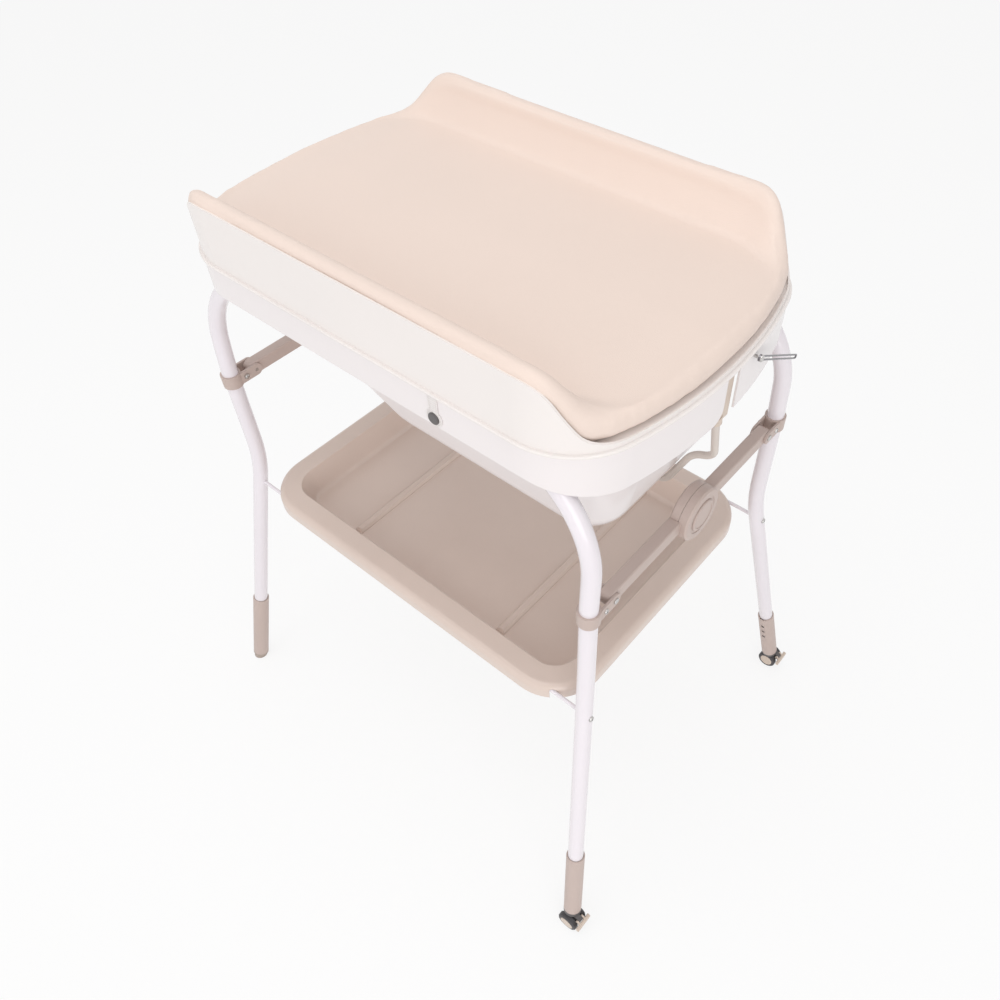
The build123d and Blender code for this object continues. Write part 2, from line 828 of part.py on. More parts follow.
def tray_outline(inset):
    """The tray in plan, drawn in by an inset."""
    return RectangleRounded(
        2 * (tray_half_length - inset), 2 * (tray_half_width - inset), tray_corner_radius - inset
    )


def tray():
    """The tray: a hollow rolled rim over the rods, a drafted bowl, two floor ribs, and hooks on the rods."""
    _, rod_spacing = rod_place()
    rim = upright(tray_skirt_height, tray_top_height, tray_outline(0))
    rim = fillet(rim.faces().sort_by(Axis.Z)[-1].edges(), tray_rim_outer_radius)
    inner = tray_rim_width
    bowl_outside = tray_bowl(inner - tray_wall, tray_top_height - tray_wall, tray_floor_height - tray_wall)
    bowl_inside = tray_bowl(inner, tray_top_height, tray_floor_height)
    channel = upright(tray_skirt_height - overrun, tray_top_height - tray_wall, tray_outline(tray_wall))
    channel = fillet(channel.faces().sort_by(Axis.Z)[-1].edges(), tray_rim_outer_radius - tray_wall)
    body = rim - channel + bowl_outside - bowl_inside
    mouth = body.edges().filter_by(lambda edge: abs(edge.center().Z - tray_top_height) < tray_wall / 9)
    body = fillet([edge for edge in mouth if on_tray_mouth(edge)], tray_rim_inner_radius / 4)
    for side in (-1, 1):
        body += tray_rib(side * tray_rib_half_spacing)
        for end in (-1, 1):
            body += tray_hook(end * tray_hook_half_spacing, side * rod_spacing, bowl_outside)
        slot = rod_slot_radius(side)
        half = tray_half_length + overrun
        body -= disc_along_x(-half, half, slot, side * rod_spacing, rod_height)
        for end in (-1, 1):
            near = end * (tray_half_length - tray_corner_radius)
            far = end * half
            body -= block(
                (min(near, far), side * rod_spacing - slot, tray_skirt_height - overrun),
                (max(near, far), side * rod_spacing + slot, rod_height),
            )
    return body


def rod_slot_radius(side):
    """The radius of a rod's slot: the front one is wider, because the tray lifts off its rod as it folds."""
    return rod_diameter / 2 + (rod_clearance if side > 0 else front_rod_clearance)


def tray_bowl(inset, top, floor):
    """The drafted form of the tray's bowl."""
    draft = degrees(atan2(tray_bowl_draft_width, tray_top_height - tray_floor_height))
    bowl = extrude(at_height(top) * tray_outline(inset), amount=top - floor, taper=draft, dir=(0, 0, -1))
    return fillet(bowl.faces().sort_by(Axis.Z)[0].edges(), tray_floor_radius)


def on_tray_mouth(edge):
    """Whether an edge of the tray's top lies on the mouth of its bowl."""
    place = edge.center()
    mouth_y = tray_half_width - tray_rim_width
    mouth_x = tray_half_length - tray_rim_width
    return abs(place.Y) < mouth_y + tray_wall and abs(place.X) < mouth_x + tray_wall


def tray_rib(span):
    """A raised rib across the tray's floor."""
    half = tray_half_width - tray_rim_width - tray_bowl_draft_width - tray_floor_radius / 2
    rib = block(
        (span - tray_rib_width / 2, -half, tray_floor_height - tray_wall / 2),
        (span + tray_rib_width / 2, half, tray_floor_height + tray_rib_height),
    )
    top = rib.faces().sort_by(Axis.Z)[-1]
    return chamfer(top.edges(), tray_rib_height * 3 / 4)


def tray_hook(span, spacing, bowl_outside):
    """A rib in the hollow rim: its notch sits over a rod, and the rear ones snap round it."""
    side = 1 if spacing > 0 else -1
    inner = side * (tray_half_width - tray_rim_width - tray_bowl_draft_width)
    outer = side * (tray_half_width - tray_wall / 2)
    rib = block(
        (span - tray_hook_width / 2, min(inner, outer), tray_skirt_height),
        (span + tray_hook_width / 2, max(inner, outer), tray_top_height - tray_rim_outer_radius),
    )
    cap = block(
        (span - tray_hook_width / 2, spacing - tray_hook_width * 2, tray_top_height - tray_rim_outer_radius),
        (span + tray_hook_width / 2, spacing + tray_hook_width * 2, tray_top_height - tray_wall / 2),
    )
    mouth = tray_hook_mouth / 2 if side > 0 else rod_slot_radius(side)
    gap = block(
        (span - tray_hook_width, spacing - mouth, tray_skirt_height - overrun),
        (span + tray_hook_width, spacing + mouth, rod_height),
    )
    return rib + cap - bowl_outside - gap


# Bath


def basin(inset):
    """The basin's solid form, drawn in by an inset: drafted sides and a left end that leans back."""
    top = bath_rim_height + (overrun if inset else 0)
    depth = bath_rim_height - basin_floor_height
    draft = degrees(atan2(mouth_half_width - basin_floor_half_width, depth))
    spread = inset - (top - bath_rim_height) * tan(radians(draft))
    mouth = RectangleRounded(
        2 * (mouth_half_length - spread), 2 * (mouth_half_width - spread), mouth_corner_radius - spread
    )
    body = extrude(
        at_height(top) * mouth, amount=top - basin_floor_height - inset, taper=draft, dir=(0, 0, -1)
    )
    lean = (basin_floor_left + mouth_half_length) / depth
    reach = sqrt(1 + lean**2) * inset
    foot = basin_floor_height + inset
    left = basin_floor_left + reach - inset * lean
    rise = top - foot
    right = mouth_half_length + overrun
    profile = Polygon((left, foot), (right, foot), (right, top), (left - rise * lean, top), align=None)
    body &= extrude(side_plane(mouth_half_width) * profile, amount=2 * mouth_half_width)
    return fillet(body.faces().sort_by(Axis.Z)[0].edges(), basin_edge_radius - inset)


def bath():
    """The bath: basin, flat rim, and the skirt over the bars, with its notch and cut-outs for the legs."""
    outer = rim_outline(bath_rim_inset)
    rim_low = bath_rim_height - bath_wall - lip_gap
    deepest = min(skirt_side_height, skirt_end_height)
    skirt = upright(deepest, bath_rim_height, outer)
    skirt -= upright(deepest - overrun, rim_low, rim_outline(bath_rim_inset + bath_wall))
    skirt -= stepped_region(
        skirt_side_height, skirt_end_height, skirt_step_start,
        skirt_step_end, skirt_step_radius, deepest - overrun
    )
    skirt = fillet(skirt.faces().sort_by(Axis.Z)[-1].outer_wire().edges(), bath_wall / 3)
    body = skirt + basin(0) - basin(bath_wall)
    body -= skirt_notch(rim_low)
    for side in (-1, 1):
        start = side * leg_cut_start
        end = side * leg_cut_end
        body -= block(
            (min(start, end), rim_half_width - leg_cut_depth, deepest - overrun),
            (max(start, end), rim_half_width + overrun, rim_low),
        )
        for bar in (-1, 1):
            body += bar_seat(side * seat_half_spacing, bar, rim_low)
    body -= drain_hole()
    for side in (-1, 1):
        body += bath_hinge_barrels(side * hinge_half_spacing)
    stud = stud_diameter / 2
    skirt_face = rim_half_width - bath_rim_inset
    body -= disc_along_y(-skirt_face - overrun, -skirt_face + overrun, stud, strap_position, stud_height)
    pivot = wire_screw_diameter / 2
    return body - disc_along_x(
        rim_half_length - rim_corner_radius, rim_half_length + overrun,
        pivot, wire_pivot_spacing, wire_pivot_height
    )


def skirt_notch(top):
    """The notch in the right end of the skirt: the front side of it ends in a round corner."""
    near = rim_half_length - rim_corner_radius / 2
    far = rim_half_length + overrun
    low = min(skirt_side_height, skirt_end_height) - overrun
    front = notch_centre - notch_width / 2
    back = notch_centre + notch_width / 2
    gap = block((near, front, low), (far, back, top))
    low_edge = skirt_end_height
    corner = block((near, front - notch_corner_radius, low), (far, front, low_edge + notch_corner_radius))
    corner -= disc_along_x(
        near - overrun, far + overrun, notch_corner_radius,
        front - notch_corner_radius, low_edge + notch_corner_radius
    )
    return gap + corner


def bar_seat(span, bar, rim_low):
    """A seat under the bath's rim: an open saddle on the front bar, a snap clip round the rear bar."""
    inner = tube_radius + bar_clearance
    outer = inner + seat_wall
    spacing = bar * bar_half_spacing
    start = span - seat_length / 2
    end = span + seat_length / 2
    body = disc_along_x(start, end, outer, spacing, bar_height)
    for edge in (start, span - seat_wall / 2, end - seat_wall):
        body += block(
            (edge, spacing - inner, bar_height), (edge + seat_wall, spacing + inner, rim_low + lip_gap)
        )
    body -= disc_along_x(start - overrun, end + overrun, inner, spacing, bar_height)
    if bar < 0:
        mouth = block(
            (start - overrun, spacing - 2 * outer, 0), (end + overrun, spacing + 2 * outer, bar_height)
        )
    else:
        half = radians(clip_mouth_angle / 2)
        reach = 2 * outer
        wedge = Polygon(
            (spacing, bar_height),
            (spacing - reach * sin(half), bar_height - reach * cos(half)),
            (spacing + reach * sin(half), bar_height - reach * cos(half)),
            align=None,
        )
        mouth = extrude(end_plane(start - overrun) * wedge, amount=seat_length + 2 * overrun)
    return body - mouth


def drain_hole():
    """The hole in the basin's floor for the drain."""
    low = basin_floor_height - overrun
    return upright(low, low + 2 * overrun + bath_wall, Pos(drain_x, drain_y) * Circle(drain_bore / 2))


def drain_fitting():
    """The drain: a flange in the basin, a barrel through its floor, a nut, and an elbow for the hose."""
    floor = basin_floor_height + bath_wall
    place = Pos(drain_x, drain_y)
    flange = upright(floor, floor + drain_flange_depth, place * Circle(drain_flange_diameter / 2))
    elbow_height = drain_elbow_height()
    barrel = upright(elbow_height, floor, place * Circle(drain_bore / 2))
    nut_top = basin_floor_height
    nut = upright(nut_top - drain_nut_depth, nut_top, place * RegularPolygon(drain_nut_diameter / 2, 6))
    outlet_radius = hose_diameter / 2 + drain_outlet_wall
    outlet = disc_along_x(drain_x, drain_x + drain_elbow_reach, outlet_radius, drain_y, elbow_height)
    foot = upright(elbow_height - outlet_radius, elbow_height, place * Circle(drain_bore / 2))
    body = flange + barrel + nut + outlet + foot
    bore = drain_bore / 2 - bath_wall
    body -= upright(elbow_height, floor + overrun, place * Circle(bore))
    return body - disc_along_x(
        drain_x, drain_x + drain_elbow_reach + overrun, hose_bore / 2, drain_y, elbow_height
    )


def drain_elbow_height():
    """The height of the drain's outlet, under the nut."""
    return basin_floor_height - drain_nut_depth - drain_bore / 2


def hose_route():
    """The middle line of the drain hose: from the elbow up behind the basin's end, and up to the clip."""
    height = drain_elbow_height()
    return [
        (drain_x + drain_elbow_reach, drain_y, height),
        (289, 28, height),
        (325, 29, 790),
        (356, 30, 803),
        (361, 6, 884),
    ]


def hose_radii():
    """The radius of each bend of the hose, as large as its two runs allow."""
    points = [Vector(*point) for point in hose_route()]
    radii = []
    for before, corner, after in zip(points, points[1:], points[2:]):
        run_in = corner - before
        run_out = after - corner
        turn = radians(run_in.get_angle(run_out))
        radii.append(hose_bend_share * min(run_in.length, run_out.length) / tan(turn / 2))
    print("drain hose bend radii:", [round(radius, 1) for radius in radii])
    return radii


def drain_hose():
    """The drain hose from the elbow to its clip at the rim."""
    return bent_bar(hose_route(), hose_radii(), hose_diameter / 2)


def hose_clip():
    """The clip that holds the raised end of the hose, with a plate behind the notch of the skirt."""
    before, end = [Vector(*point) for point in hose_route()[-2:]]
    outer = hose_diameter / 2 + hose_clip_wall
    ring = extrude(Plane(origin=end, z_dir=end - before) * Circle(outer), amount=hose_clip_height)
    face = rim_half_length - bath_rim_inset - bath_wall - hose_clip_wall - lip_gap
    plate = block(
        (face - hose_clip_wall, notch_centre - hose_clip_plate_width / 2, end.Z + hose_clip_height / 2),
        (face, notch_centre + hose_clip_plate_width / 2, clip_plate_top),
    )
    head = block(
        (face - 4 * hose_clip_wall, notch_centre - hose_clip_plate_width / 2, clip_plate_top),
        (face, notch_centre + hose_clip_plate_width / 2, bath_rim_height - bath_wall - lip_gap),
    )
    return ring + plate + head


def drain_plug():
    """The rubber plug in the drain, with a grip to pull."""
    seat = basin_floor_height + bath_wall + drain_flange_depth
    place = Pos(drain_x, drain_y)
    gap = running_clearance * 6
    head = upright(seat + gap, seat + gap + plug_head_depth, place * Circle(plug_head_diameter / 2))
    head = chamfer(head.edges().sort_by(Axis.Z)[-1], plug_head_depth / 3)
    bore = drain_bore / 2 - bath_wall - plug_clearance
    stem = upright(seat + gap - plug_depth, seat + gap, place * Circle(bore))
    grip_low = seat + gap + plug_head_depth - running_clearance
    grip = block(
        (drain_x - plug_grip_width / 2, drain_y - plug_grip_height / 2, grip_low),
        (drain_x + plug_grip_width / 2, drain_y + plug_grip_height / 2, grip_low + plug_grip_height),
    )
    grip = fillet(grip.edges().filter_by(Axis.X).group_by(Axis.Z)[-1], plug_grip_height / 3)
    return head + stem + grip


# Hinges between the bath and the changing top


def hinge_barrel(start, end):
    """A barrel along X on the hinge axis."""
    return disc_along_x(start, end, hinge_barrel_diameter / 2, hinge_axis_spacing, lip_base_height)


def bath_hinge_barrels(span):
    """The two outer barrels of a hinge, on the back of the bath's rim."""
    inner = rim_half_width - bath_rim_inset - bath_wall
    radius = hinge_barrel_diameter / 2
    barrels = None
    for side in (-1, 1):
        near = span + side * (hinge_middle_length / 2 + hinge_gap)
        far = near + side * hinge_side_length
        start, end = min(near, far), max(near, far)
        web = block((start, inner, lip_base_height - radius), (end, hinge_axis_spacing, bath_rim_height))
        barrel = hinge_barrel(start, end) + web
        barrels = barrel if barrels is None else barrels + barrel
    bore = hinge_pin_diameter / 2
    return barrels - disc_along_x(
        span - hinge_middle_length * 2, span + hinge_middle_length * 2,
        bore, hinge_axis_spacing, lip_base_height
    )


def top_hinge_barrel(span):
    """The middle barrel of a hinge, on the back of the changing top's lip."""
    start = span - hinge_middle_length / 2
    end = span + hinge_middle_length / 2
    inner = rim_half_width - top_wall_inset
    web = block((start, inner, lip_base_height), (end, hinge_axis_spacing, lip_base_height + lip_height))
    barrel = hinge_barrel(start, end) + web
    bore = hinge_pin_diameter / 2 + running_clearance
    return barrel - disc_along_x(start - overrun, end + overrun, bore, hinge_axis_spacing, lip_base_height)


def hinge_pin(span):
    """The pin of one hinge."""
    half = hinge_middle_length / 2 + hinge_gap + hinge_side_length
    return disc_along_x(span - half, span + half, hinge_pin_diameter / 2, hinge_axis_spacing, lip_base_height)


# Changing top and pad


def changing_top():
    """The changing top: a lip over the bath's rim, high sides that dip at the corners, a ribbed floor."""
    lip_top = lip_base_height + lip_height
    lip = upright(lip_base_height, lip_top, rim_outline(0))
    lip = fillet(lip.edges().group_by(Axis.Z)[-1] + lip.edges().group_by(Axis.Z)[0], lip_edge_radius)
    wall = upright(lip_top - lip_gap, top_side_height, rim_outline(top_wall_inset))
    inside = rim_outline(top_wall_inset + top_wall)
    radii = (top_foot_radius, top_shoulder_radius, top_shoulder_radius, top_foot_radius)
    wall -= stepped_region(
        top_side_height, top_end_height, top_step_start,
        top_step_end, radii, top_side_height + overrun
    )
    body = lip + wall
    body -= upright(lip_base_height - overrun, top_floor_height, inside)
    body -= upright(top_floor_height + top_floor_thickness, top_side_height + overrun, inside)
    body += top_ribs(inside)
    for side in (-1, 1):
        body += top_hinge_barrel(side * hinge_half_spacing)
    return body


def top_ribs(inside):
    """Stiffening ribs under the floor of the changing top."""
    low = top_floor_height - top_rib_height
    high = top_floor_height + top_floor_thickness / 2
    ribs = None
    along = int(rim_half_length // top_rib_pitch)
    places = [(step * top_rib_pitch, 0) for step in range(-along, along + 1)]
    across = int(rim_half_width // top_rib_pitch)
    places += [(0, step * top_rib_pitch) for step in range(-across, across + 1)]
    for index, (x, y) in enumerate(places):
        lengthwise = index > 2 * along
        half_x = rim_half_length if lengthwise else top_rib_width / 2
        half_y = top_rib_width / 2 if lengthwise else rim_half_width
        rib = block((x - half_x, y - half_y, low), (x + half_x, y + half_y, high))
        ribs = rib if ribs is None else ribs + rib
    return ribs & upright(low, high, inside)


def step_setback(radius):
    """How far from its corner a bend of the top's stepped line begins."""
    fall = top_side_height - top_end_height
    run = top_step_end - top_step_start
    return radius * (sqrt(fall**2 + run**2) - run) / fall


def top_line(x):
    """The height of the top's wall at x: level, a bend down, a slope, a bend out, and level again."""
    fall = top_side_height - top_end_height
    run = top_step_end - top_step_start
    slant = run / sqrt(fall**2 + run**2)
    first = top_step_start - step_setback(top_shoulder_radius)
    last = top_step_end + step_setback(top_foot_radius)
    x = abs(x)
    if x <= first:
        return top_side_height
    if x <= top_step_start + step_setback(top_shoulder_radius) * slant:
        drop = top_shoulder_radius - sqrt(top_shoulder_radius**2 - (x - first) ** 2)
        return top_side_height - drop
    if x <= top_step_end - step_setback(top_foot_radius) * slant:
        return top_side_height - fall * (x - top_step_start) / run
    if x <= last:
        return top_end_height + top_foot_radius - sqrt(top_foot_radius**2 - (last - x) ** 2)
    return top_end_height


def inner_half_width(x, inset):
    """Half the width inside the rim at x, drawn in by an inset: straight side, corner, bowed end."""
    x = abs(x)
    corner = rim_corner_radius - inset
    corner_end = rim_corner_x + corner * cos(radians(rim_bow_angle))
    if x <= rim_corner_x:
        return rim_half_width - inset
    if x <= corner_end:
        return rim_corner_y + sqrt(corner**2 - (x - rim_corner_x) ** 2)
    return sqrt((rim_end_radius - inset) ** 2 - (x - rim_bow_centre) ** 2)


def pad_places(end):
    """Where the pad is cut across, from the middle to its end: closer together where its sides bend."""
    first = top_step_start - step_setback(top_shoulder_radius)
    last = top_step_end + step_setback(top_foot_radius)
    bends = [first + (last - first) * share for share in pad_bend_shares]
    tail = [last + (end - last) * share for share in pad_tail_shares]
    return [0, first * pad_middle_share] + bends + tail


def pad_section(x, end):
    """The pad cut across at x: a raised roll at the front and back, a crowned flat between them."""
    inset = top_wall_inset + top_wall + pad_gap
    width = inner_half_width(x, inset)
    wall = top_line(x)
    raised = (wall - top_end_height) / (top_side_height - top_end_height)
    ease = sqrt(max(0, 1 - (1 - min(1, (end - abs(x)) / pad_end_round)) ** 2))
    flat = pad_end_height + (pad_flat_height - pad_end_height) * raised - pad_end_drop * (1 - ease)
    top = flat + pad_roll_rise + (
        top_side_height + pad_roll_height - pad_flat_height - pad_roll_rise
    ) * raised
    bottom = top_floor_height + top_floor_thickness + pad_gap
    roll = min(pad_roll_width, width / 3)
    toe = width - min(pad_toe_width, width / 2)
    side = max(wall + pad_gap, top - pad_roll_height)
    half = roll / 2
    crest = (width - half, top)
    inner = (width - roll, top - (top - flat) / 3)
    shoulder = (width - half * (1 - sin(radians(45))), side + (top - side) * (1 - sin(radians(45)) / 3))
    brow = (width - half * 3 / 2, top - (top - flat) / 12)
    slope_middle = ((inner[0] + toe) / 2 - roll / 9, (inner[1] + flat) / 2 - (inner[1] - flat) / 5)
    crown = flat + pad_crown * width / rim_half_width
    corners = [(width, bottom), (width, side), crest, inner, (toe, flat), (0, crown)]
    middles = [None, shoulder, brow, slope_middle, None]
    edges = []
    for index, middle in enumerate(middles):
        first, second = corners[index], corners[index + 1]
        if middle is None:
            edges.append(Line(first, second))
            edges.append(Line((-second[0], second[1]), (-first[0], first[1])))
        else:
            edges.append(ThreePointArc(first, middle, second))
            edges.append(
                ThreePointArc((-second[0], second[1]), (-middle[0], middle[1]), (-first[0], first[1]))
            )
    edges.append(Line((-width, bottom), (width, bottom)))
    return end_plane(x) * make_face(Curve() + edges)


def changing_pad():
    """The soft pad: a loft through sections along the top, the same at both ends."""
    end = rim_half_length - top_wall_inset - top_wall - pad_gap
    places = pad_places(end)
    sections = [pad_section(x, end) for x in [-place for place in reversed(places[1:])] + places]
    return loft(sections, ruled=True)


# Closing strap


def closing_strap():
    """The strap under the front of the lip: its round end is pressed on the stud in the skirt."""
    face = rim_half_width - bath_rim_inset + strap_gap
    profile = Pos(strap_position, stud_height) * Circle(strap_end_diameter / 2)
    drop = lip_base_height - stud_height
    profile += Pos(strap_position, stud_height + drop / 2) * Rectangle(strap_width, drop)
    return extrude(side_plane(-face) * profile, amount=strap_thickness)


def strap_cap():
    """The dark cap of the press stud, on the strap's outer face."""
    face = rim_half_width - bath_rim_inset + strap_gap + strap_thickness
    cap = disc_along_y(-face - cap_depth, -face, cap_diameter / 2, strap_position, stud_height)
    return chamfer(cap.edges().filter_by(GeomType.CIRCLE).sort_by(Axis.Y)[0], cap_depth / 3)


def snap_stud():
    """The stud in the bath's skirt behind the strap's end."""
    face = rim_half_width - bath_rim_inset
    return disc_along_y(-face, -face + bath_wall, stud_diameter / 2, strap_position, stud_height)


# Wire between the bath and the rear leg


def retaining_wire():
    """A hairpin of wire: an eye on its screw at the bath's end, two strands, a round end at the leg."""
    plane_x = rim_half_length + wire_skirt_gap + wire_diameter / 2
    start = Vector(plane_x, wire_pivot_spacing, wire_pivot_height)
    end = Vector(plane_x, wire_end_spacing, wire_end_height)
    along = (end - start).normalized()
    across = Vector(0, -along.Z, along.Y) * wire_half_gap
    eye = wire_screw_diameter / 2 + wire_diameter / 2 + running_clearance
    tip = end + along * wire_half_gap
    lower = [start + along * eye - across, end - across]
    upper = [end + across, start + along * eye + across]
    path = Curve() + [
        Line(*lower),
        ThreePointArc(lower[1], tip, upper[0]),
        Line(*upper),
    ]
    strands = sweep(Plane(origin=lower[0], z_dir=along) * Circle(wire_diameter / 2), path=Wire(path.edges()))
    half = wire_diameter / 2
    ring = disc_along_x(plane_x - half, plane_x + half, eye + half, wire_pivot_spacing, wire_pivot_height)
    body = strands + ring
    bore = wire_screw_diameter / 2 + running_clearance
    return body - disc_along_x(
        plane_x - overrun, plane_x + overrun, bore, wire_pivot_spacing, wire_pivot_height
    )


def wire_screw():
    """The screw that the wire's eye turns on."""
    plane_x = rim_half_length + wire_skirt_gap + wire_diameter
    return headed_pin(
        plane_x + running_clearance * 4, wire_skirt_gap + wire_diameter + 4 * bath_wall, wire_screw_diameter,
        wire_screw_head, pin_cap_depth, wire_pivot_spacing, wire_pivot_height,
    )


def group(shapes):
    """Separate solids under one name."""
    solids = [solid for shape in shapes for solid in shape.solids()]
    return Compound(children=solids)


def frame_pieces():
    """The pieces of both leg frames. The rear frame is the front one mirrored."""
    pieces = {}
    for name, front in (("front", True), ("rear", False)):
        pieces[f"{name}_frame_tube"] = facing(front, frame_tube())
        for end, side in (("left", -1), ("right", 1)):
            pieces[f"{name}_{end}_bracket"] = facing(front, leg_bracket(), side)
        pieces[f"{name}_tray_rod"] = facing(front, tray_rod())
        pieces[f"{name}_stay_pins"] = group([facing(front, stay_pin(), side) for side in (-1, 1)])
        pieces[f"{name}_snap_buttons"] = group([facing(front, snap_button(), side) for side in (-1, 1)])
    return pieces


def facing(front, shape, side=1):
    """A shape of the front right corner, taken to the front or rear and to the right or left side."""
    if front:
        return side_of(side, shape)
    if side > 0:
        return mirror(shape, about=Plane.XZ)
    return Rot(0, 0, 180) * shape


def foot_pieces():
    """Sleeves, feet and casters. The right end has casters, the left end has plain feet."""
    pieces = {}
    for name, front in (("front", True), ("rear", False)):
        pieces[f"{name}_left_sleeve"] = facing(front, plain_sleeve(), -1)
        pieces[f"{name}_left_foot"] = facing(front, foot_pad(), -1)
        pieces[f"{name}_right_sleeve"] = facing(front, caster_sleeve())
        pieces[f"{name}_caster_housing"] = facing(front, caster_body())
        pieces[f"{name}_caster_pins"] = group([facing(front, pin) for pin in caster_pins()])
        pieces[f"{name}_brake_pedal"] = facing(front, brake_pedal())
        for place, side in (("outer", -1), ("inner", 1)):
            pieces[f"{name}_caster_{place}_tyre"] = facing(front, caster_tyre(side))
            pieces[f"{name}_caster_{place}_hub"] = facing(front, caster_hub(side))
    return pieces


def stay_pieces():
    """The folding stays of both ends."""
    pieces = {}
    for end, side in (("left", -1), ("right", 1)):
        pieces[f"{end}_front_stay"] = side_of(side, front_stay())
        pieces[f"{end}_rear_stay"] = side_of(side, rear_stay())
        pieces[f"{end}_knuckle_pin"] = side_of(side, knuckle_pin())
        pieces[f"{end}_lock_button"] = side_of(side, lock_button())
    return pieces


def bath_pieces():
    """The bath with what is fixed to it, its plug and the retaining wire."""
    return {
        "bath": bath(),
        "drain_fitting": drain_fitting(),
        "drain_plug": drain_plug(),
        "drain_hose": drain_hose(),
        "hose_clip": hose_clip(),
        "top_hinge_pins": group([hinge_pin(side * hinge_half_spacing) for side in (-1, 1)]),
        "snap_stud": snap_stud(),
        "wire_screw": wire_screw(),
        "retaining_wire": retaining_wire(),
    }


def top_pieces():
    """The changing top, its pad and its strap."""
    return {
        "changing_top": changing_top(),
        "changing_pad": changing_pad(),
        "closing_strap": closing_strap(),
        "strap_cap": strap_cap(),
    }


def all_pieces():
    """Every piece by its name."""
    pieces = {"storage_tray": tray()}
    for family in (frame_pieces, foot_pieces, stay_pieces, bath_pieces, top_pieces):
        pieces.update(family())
    return pieces


def main():
    """Build every piece and write each to its own file."""
    os.makedirs("parts", exist_ok=True)
    for name, shape in all_pieces().items():
        export_step(shape, f"parts/{name}.step")


if __name__ == "__main__":
    main()
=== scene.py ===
"""A changing table with a bath: the finishes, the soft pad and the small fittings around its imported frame."""

import json
import logging
from dataclasses import dataclass
from enum import Enum
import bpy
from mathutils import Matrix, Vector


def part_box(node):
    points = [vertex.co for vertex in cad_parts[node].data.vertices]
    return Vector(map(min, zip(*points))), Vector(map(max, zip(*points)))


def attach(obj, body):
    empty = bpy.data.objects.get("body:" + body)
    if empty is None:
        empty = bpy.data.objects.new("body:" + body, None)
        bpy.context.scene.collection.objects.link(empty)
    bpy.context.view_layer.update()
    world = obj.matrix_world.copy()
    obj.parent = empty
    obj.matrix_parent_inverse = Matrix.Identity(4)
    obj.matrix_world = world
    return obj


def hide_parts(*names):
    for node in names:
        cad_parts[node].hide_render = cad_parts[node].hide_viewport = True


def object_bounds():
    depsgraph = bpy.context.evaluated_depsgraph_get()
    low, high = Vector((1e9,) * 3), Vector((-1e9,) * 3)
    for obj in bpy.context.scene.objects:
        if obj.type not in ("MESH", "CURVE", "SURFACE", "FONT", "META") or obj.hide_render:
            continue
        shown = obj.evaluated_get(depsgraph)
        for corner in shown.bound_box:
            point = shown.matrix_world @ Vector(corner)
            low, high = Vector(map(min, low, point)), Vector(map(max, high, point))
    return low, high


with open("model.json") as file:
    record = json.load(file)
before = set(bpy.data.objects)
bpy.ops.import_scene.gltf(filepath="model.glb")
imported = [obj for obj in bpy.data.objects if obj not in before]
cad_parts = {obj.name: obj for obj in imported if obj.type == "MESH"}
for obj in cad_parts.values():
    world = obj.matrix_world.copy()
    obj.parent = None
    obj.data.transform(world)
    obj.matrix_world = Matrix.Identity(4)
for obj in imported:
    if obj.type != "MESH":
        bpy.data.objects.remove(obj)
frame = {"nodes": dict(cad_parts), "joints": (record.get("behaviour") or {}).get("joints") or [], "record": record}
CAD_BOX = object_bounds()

from fnmatch import fnmatch
from math import asin, cos, pi, radians, sin
from typing import ClassVar

import bmesh
import bpy
from mathutils import Matrix, Vector, noise
from mathutils.bvhtree import BVHTree

log = logging.getLogger("changing_table")

MM = 0.001
PICTURE_PIXELS = 1000
SENSOR_MM = 36.0
SMOOTH_ANGLE = radians(35)
MERGE_DISTANCE = 0.01 * MM

Socket = bpy.types.NodeSocket
Piece = bpy.types.Object


@dataclass(frozen=True)
class Tint:
    """A colour as it shows on a screen, each channel from 0 to 255."""

    red: float
    green: float
    blue: float
    full: ClassVar[float] = 255.0
    curve_start: ClassVar[float] = 0.04045
    start_slope: ClassVar[float] = 12.92
    offset: ClassVar[float] = 0.055
    power: ClassVar[float] = 2.4

    def linear(self) -> tuple[float, float, float, float]:
        """Gives the colour in the linear values that shaders use."""
        return (self.channel(self.red), self.channel(self.green), self.channel(self.blue), 1.0)

    def channel(self, shown: float) -> float:
        """Gives the linear value of one channel as it shows."""
        value = shown / self.full
        if value <= self.curve_start:
            return value / self.start_slope
        return ((value + self.offset) / (1 + self.offset)) ** self.power


class Corner(Enum):
    """The four corners of the stand, named as the legs are: side -1 is the front, end 1 has the casters."""

    FRONT_LEFT = ("front_left", -1, -1)
    FRONT_RIGHT = ("front_right", -1, 1)
    REAR_LEFT = ("rear_left", 1, -1)
    REAR_RIGHT = ("rear_right", 1, 1)

    @property
    def label(self) -> str:
        """The corner's name in the names of pieces."""
        return self.value[0]

    @property
    def side(self) -> int:
        """The corner's direction along Y."""
        return self.value[1]

    @property
    def end(self) -> int:
        """The corner's direction along X."""
        return self.value[2]

    @property
    def frame_body(self) -> str:
        """The body of the leg frame that this corner belongs to."""
        return "front_frame" if self.side < 0 else "rear_frame"


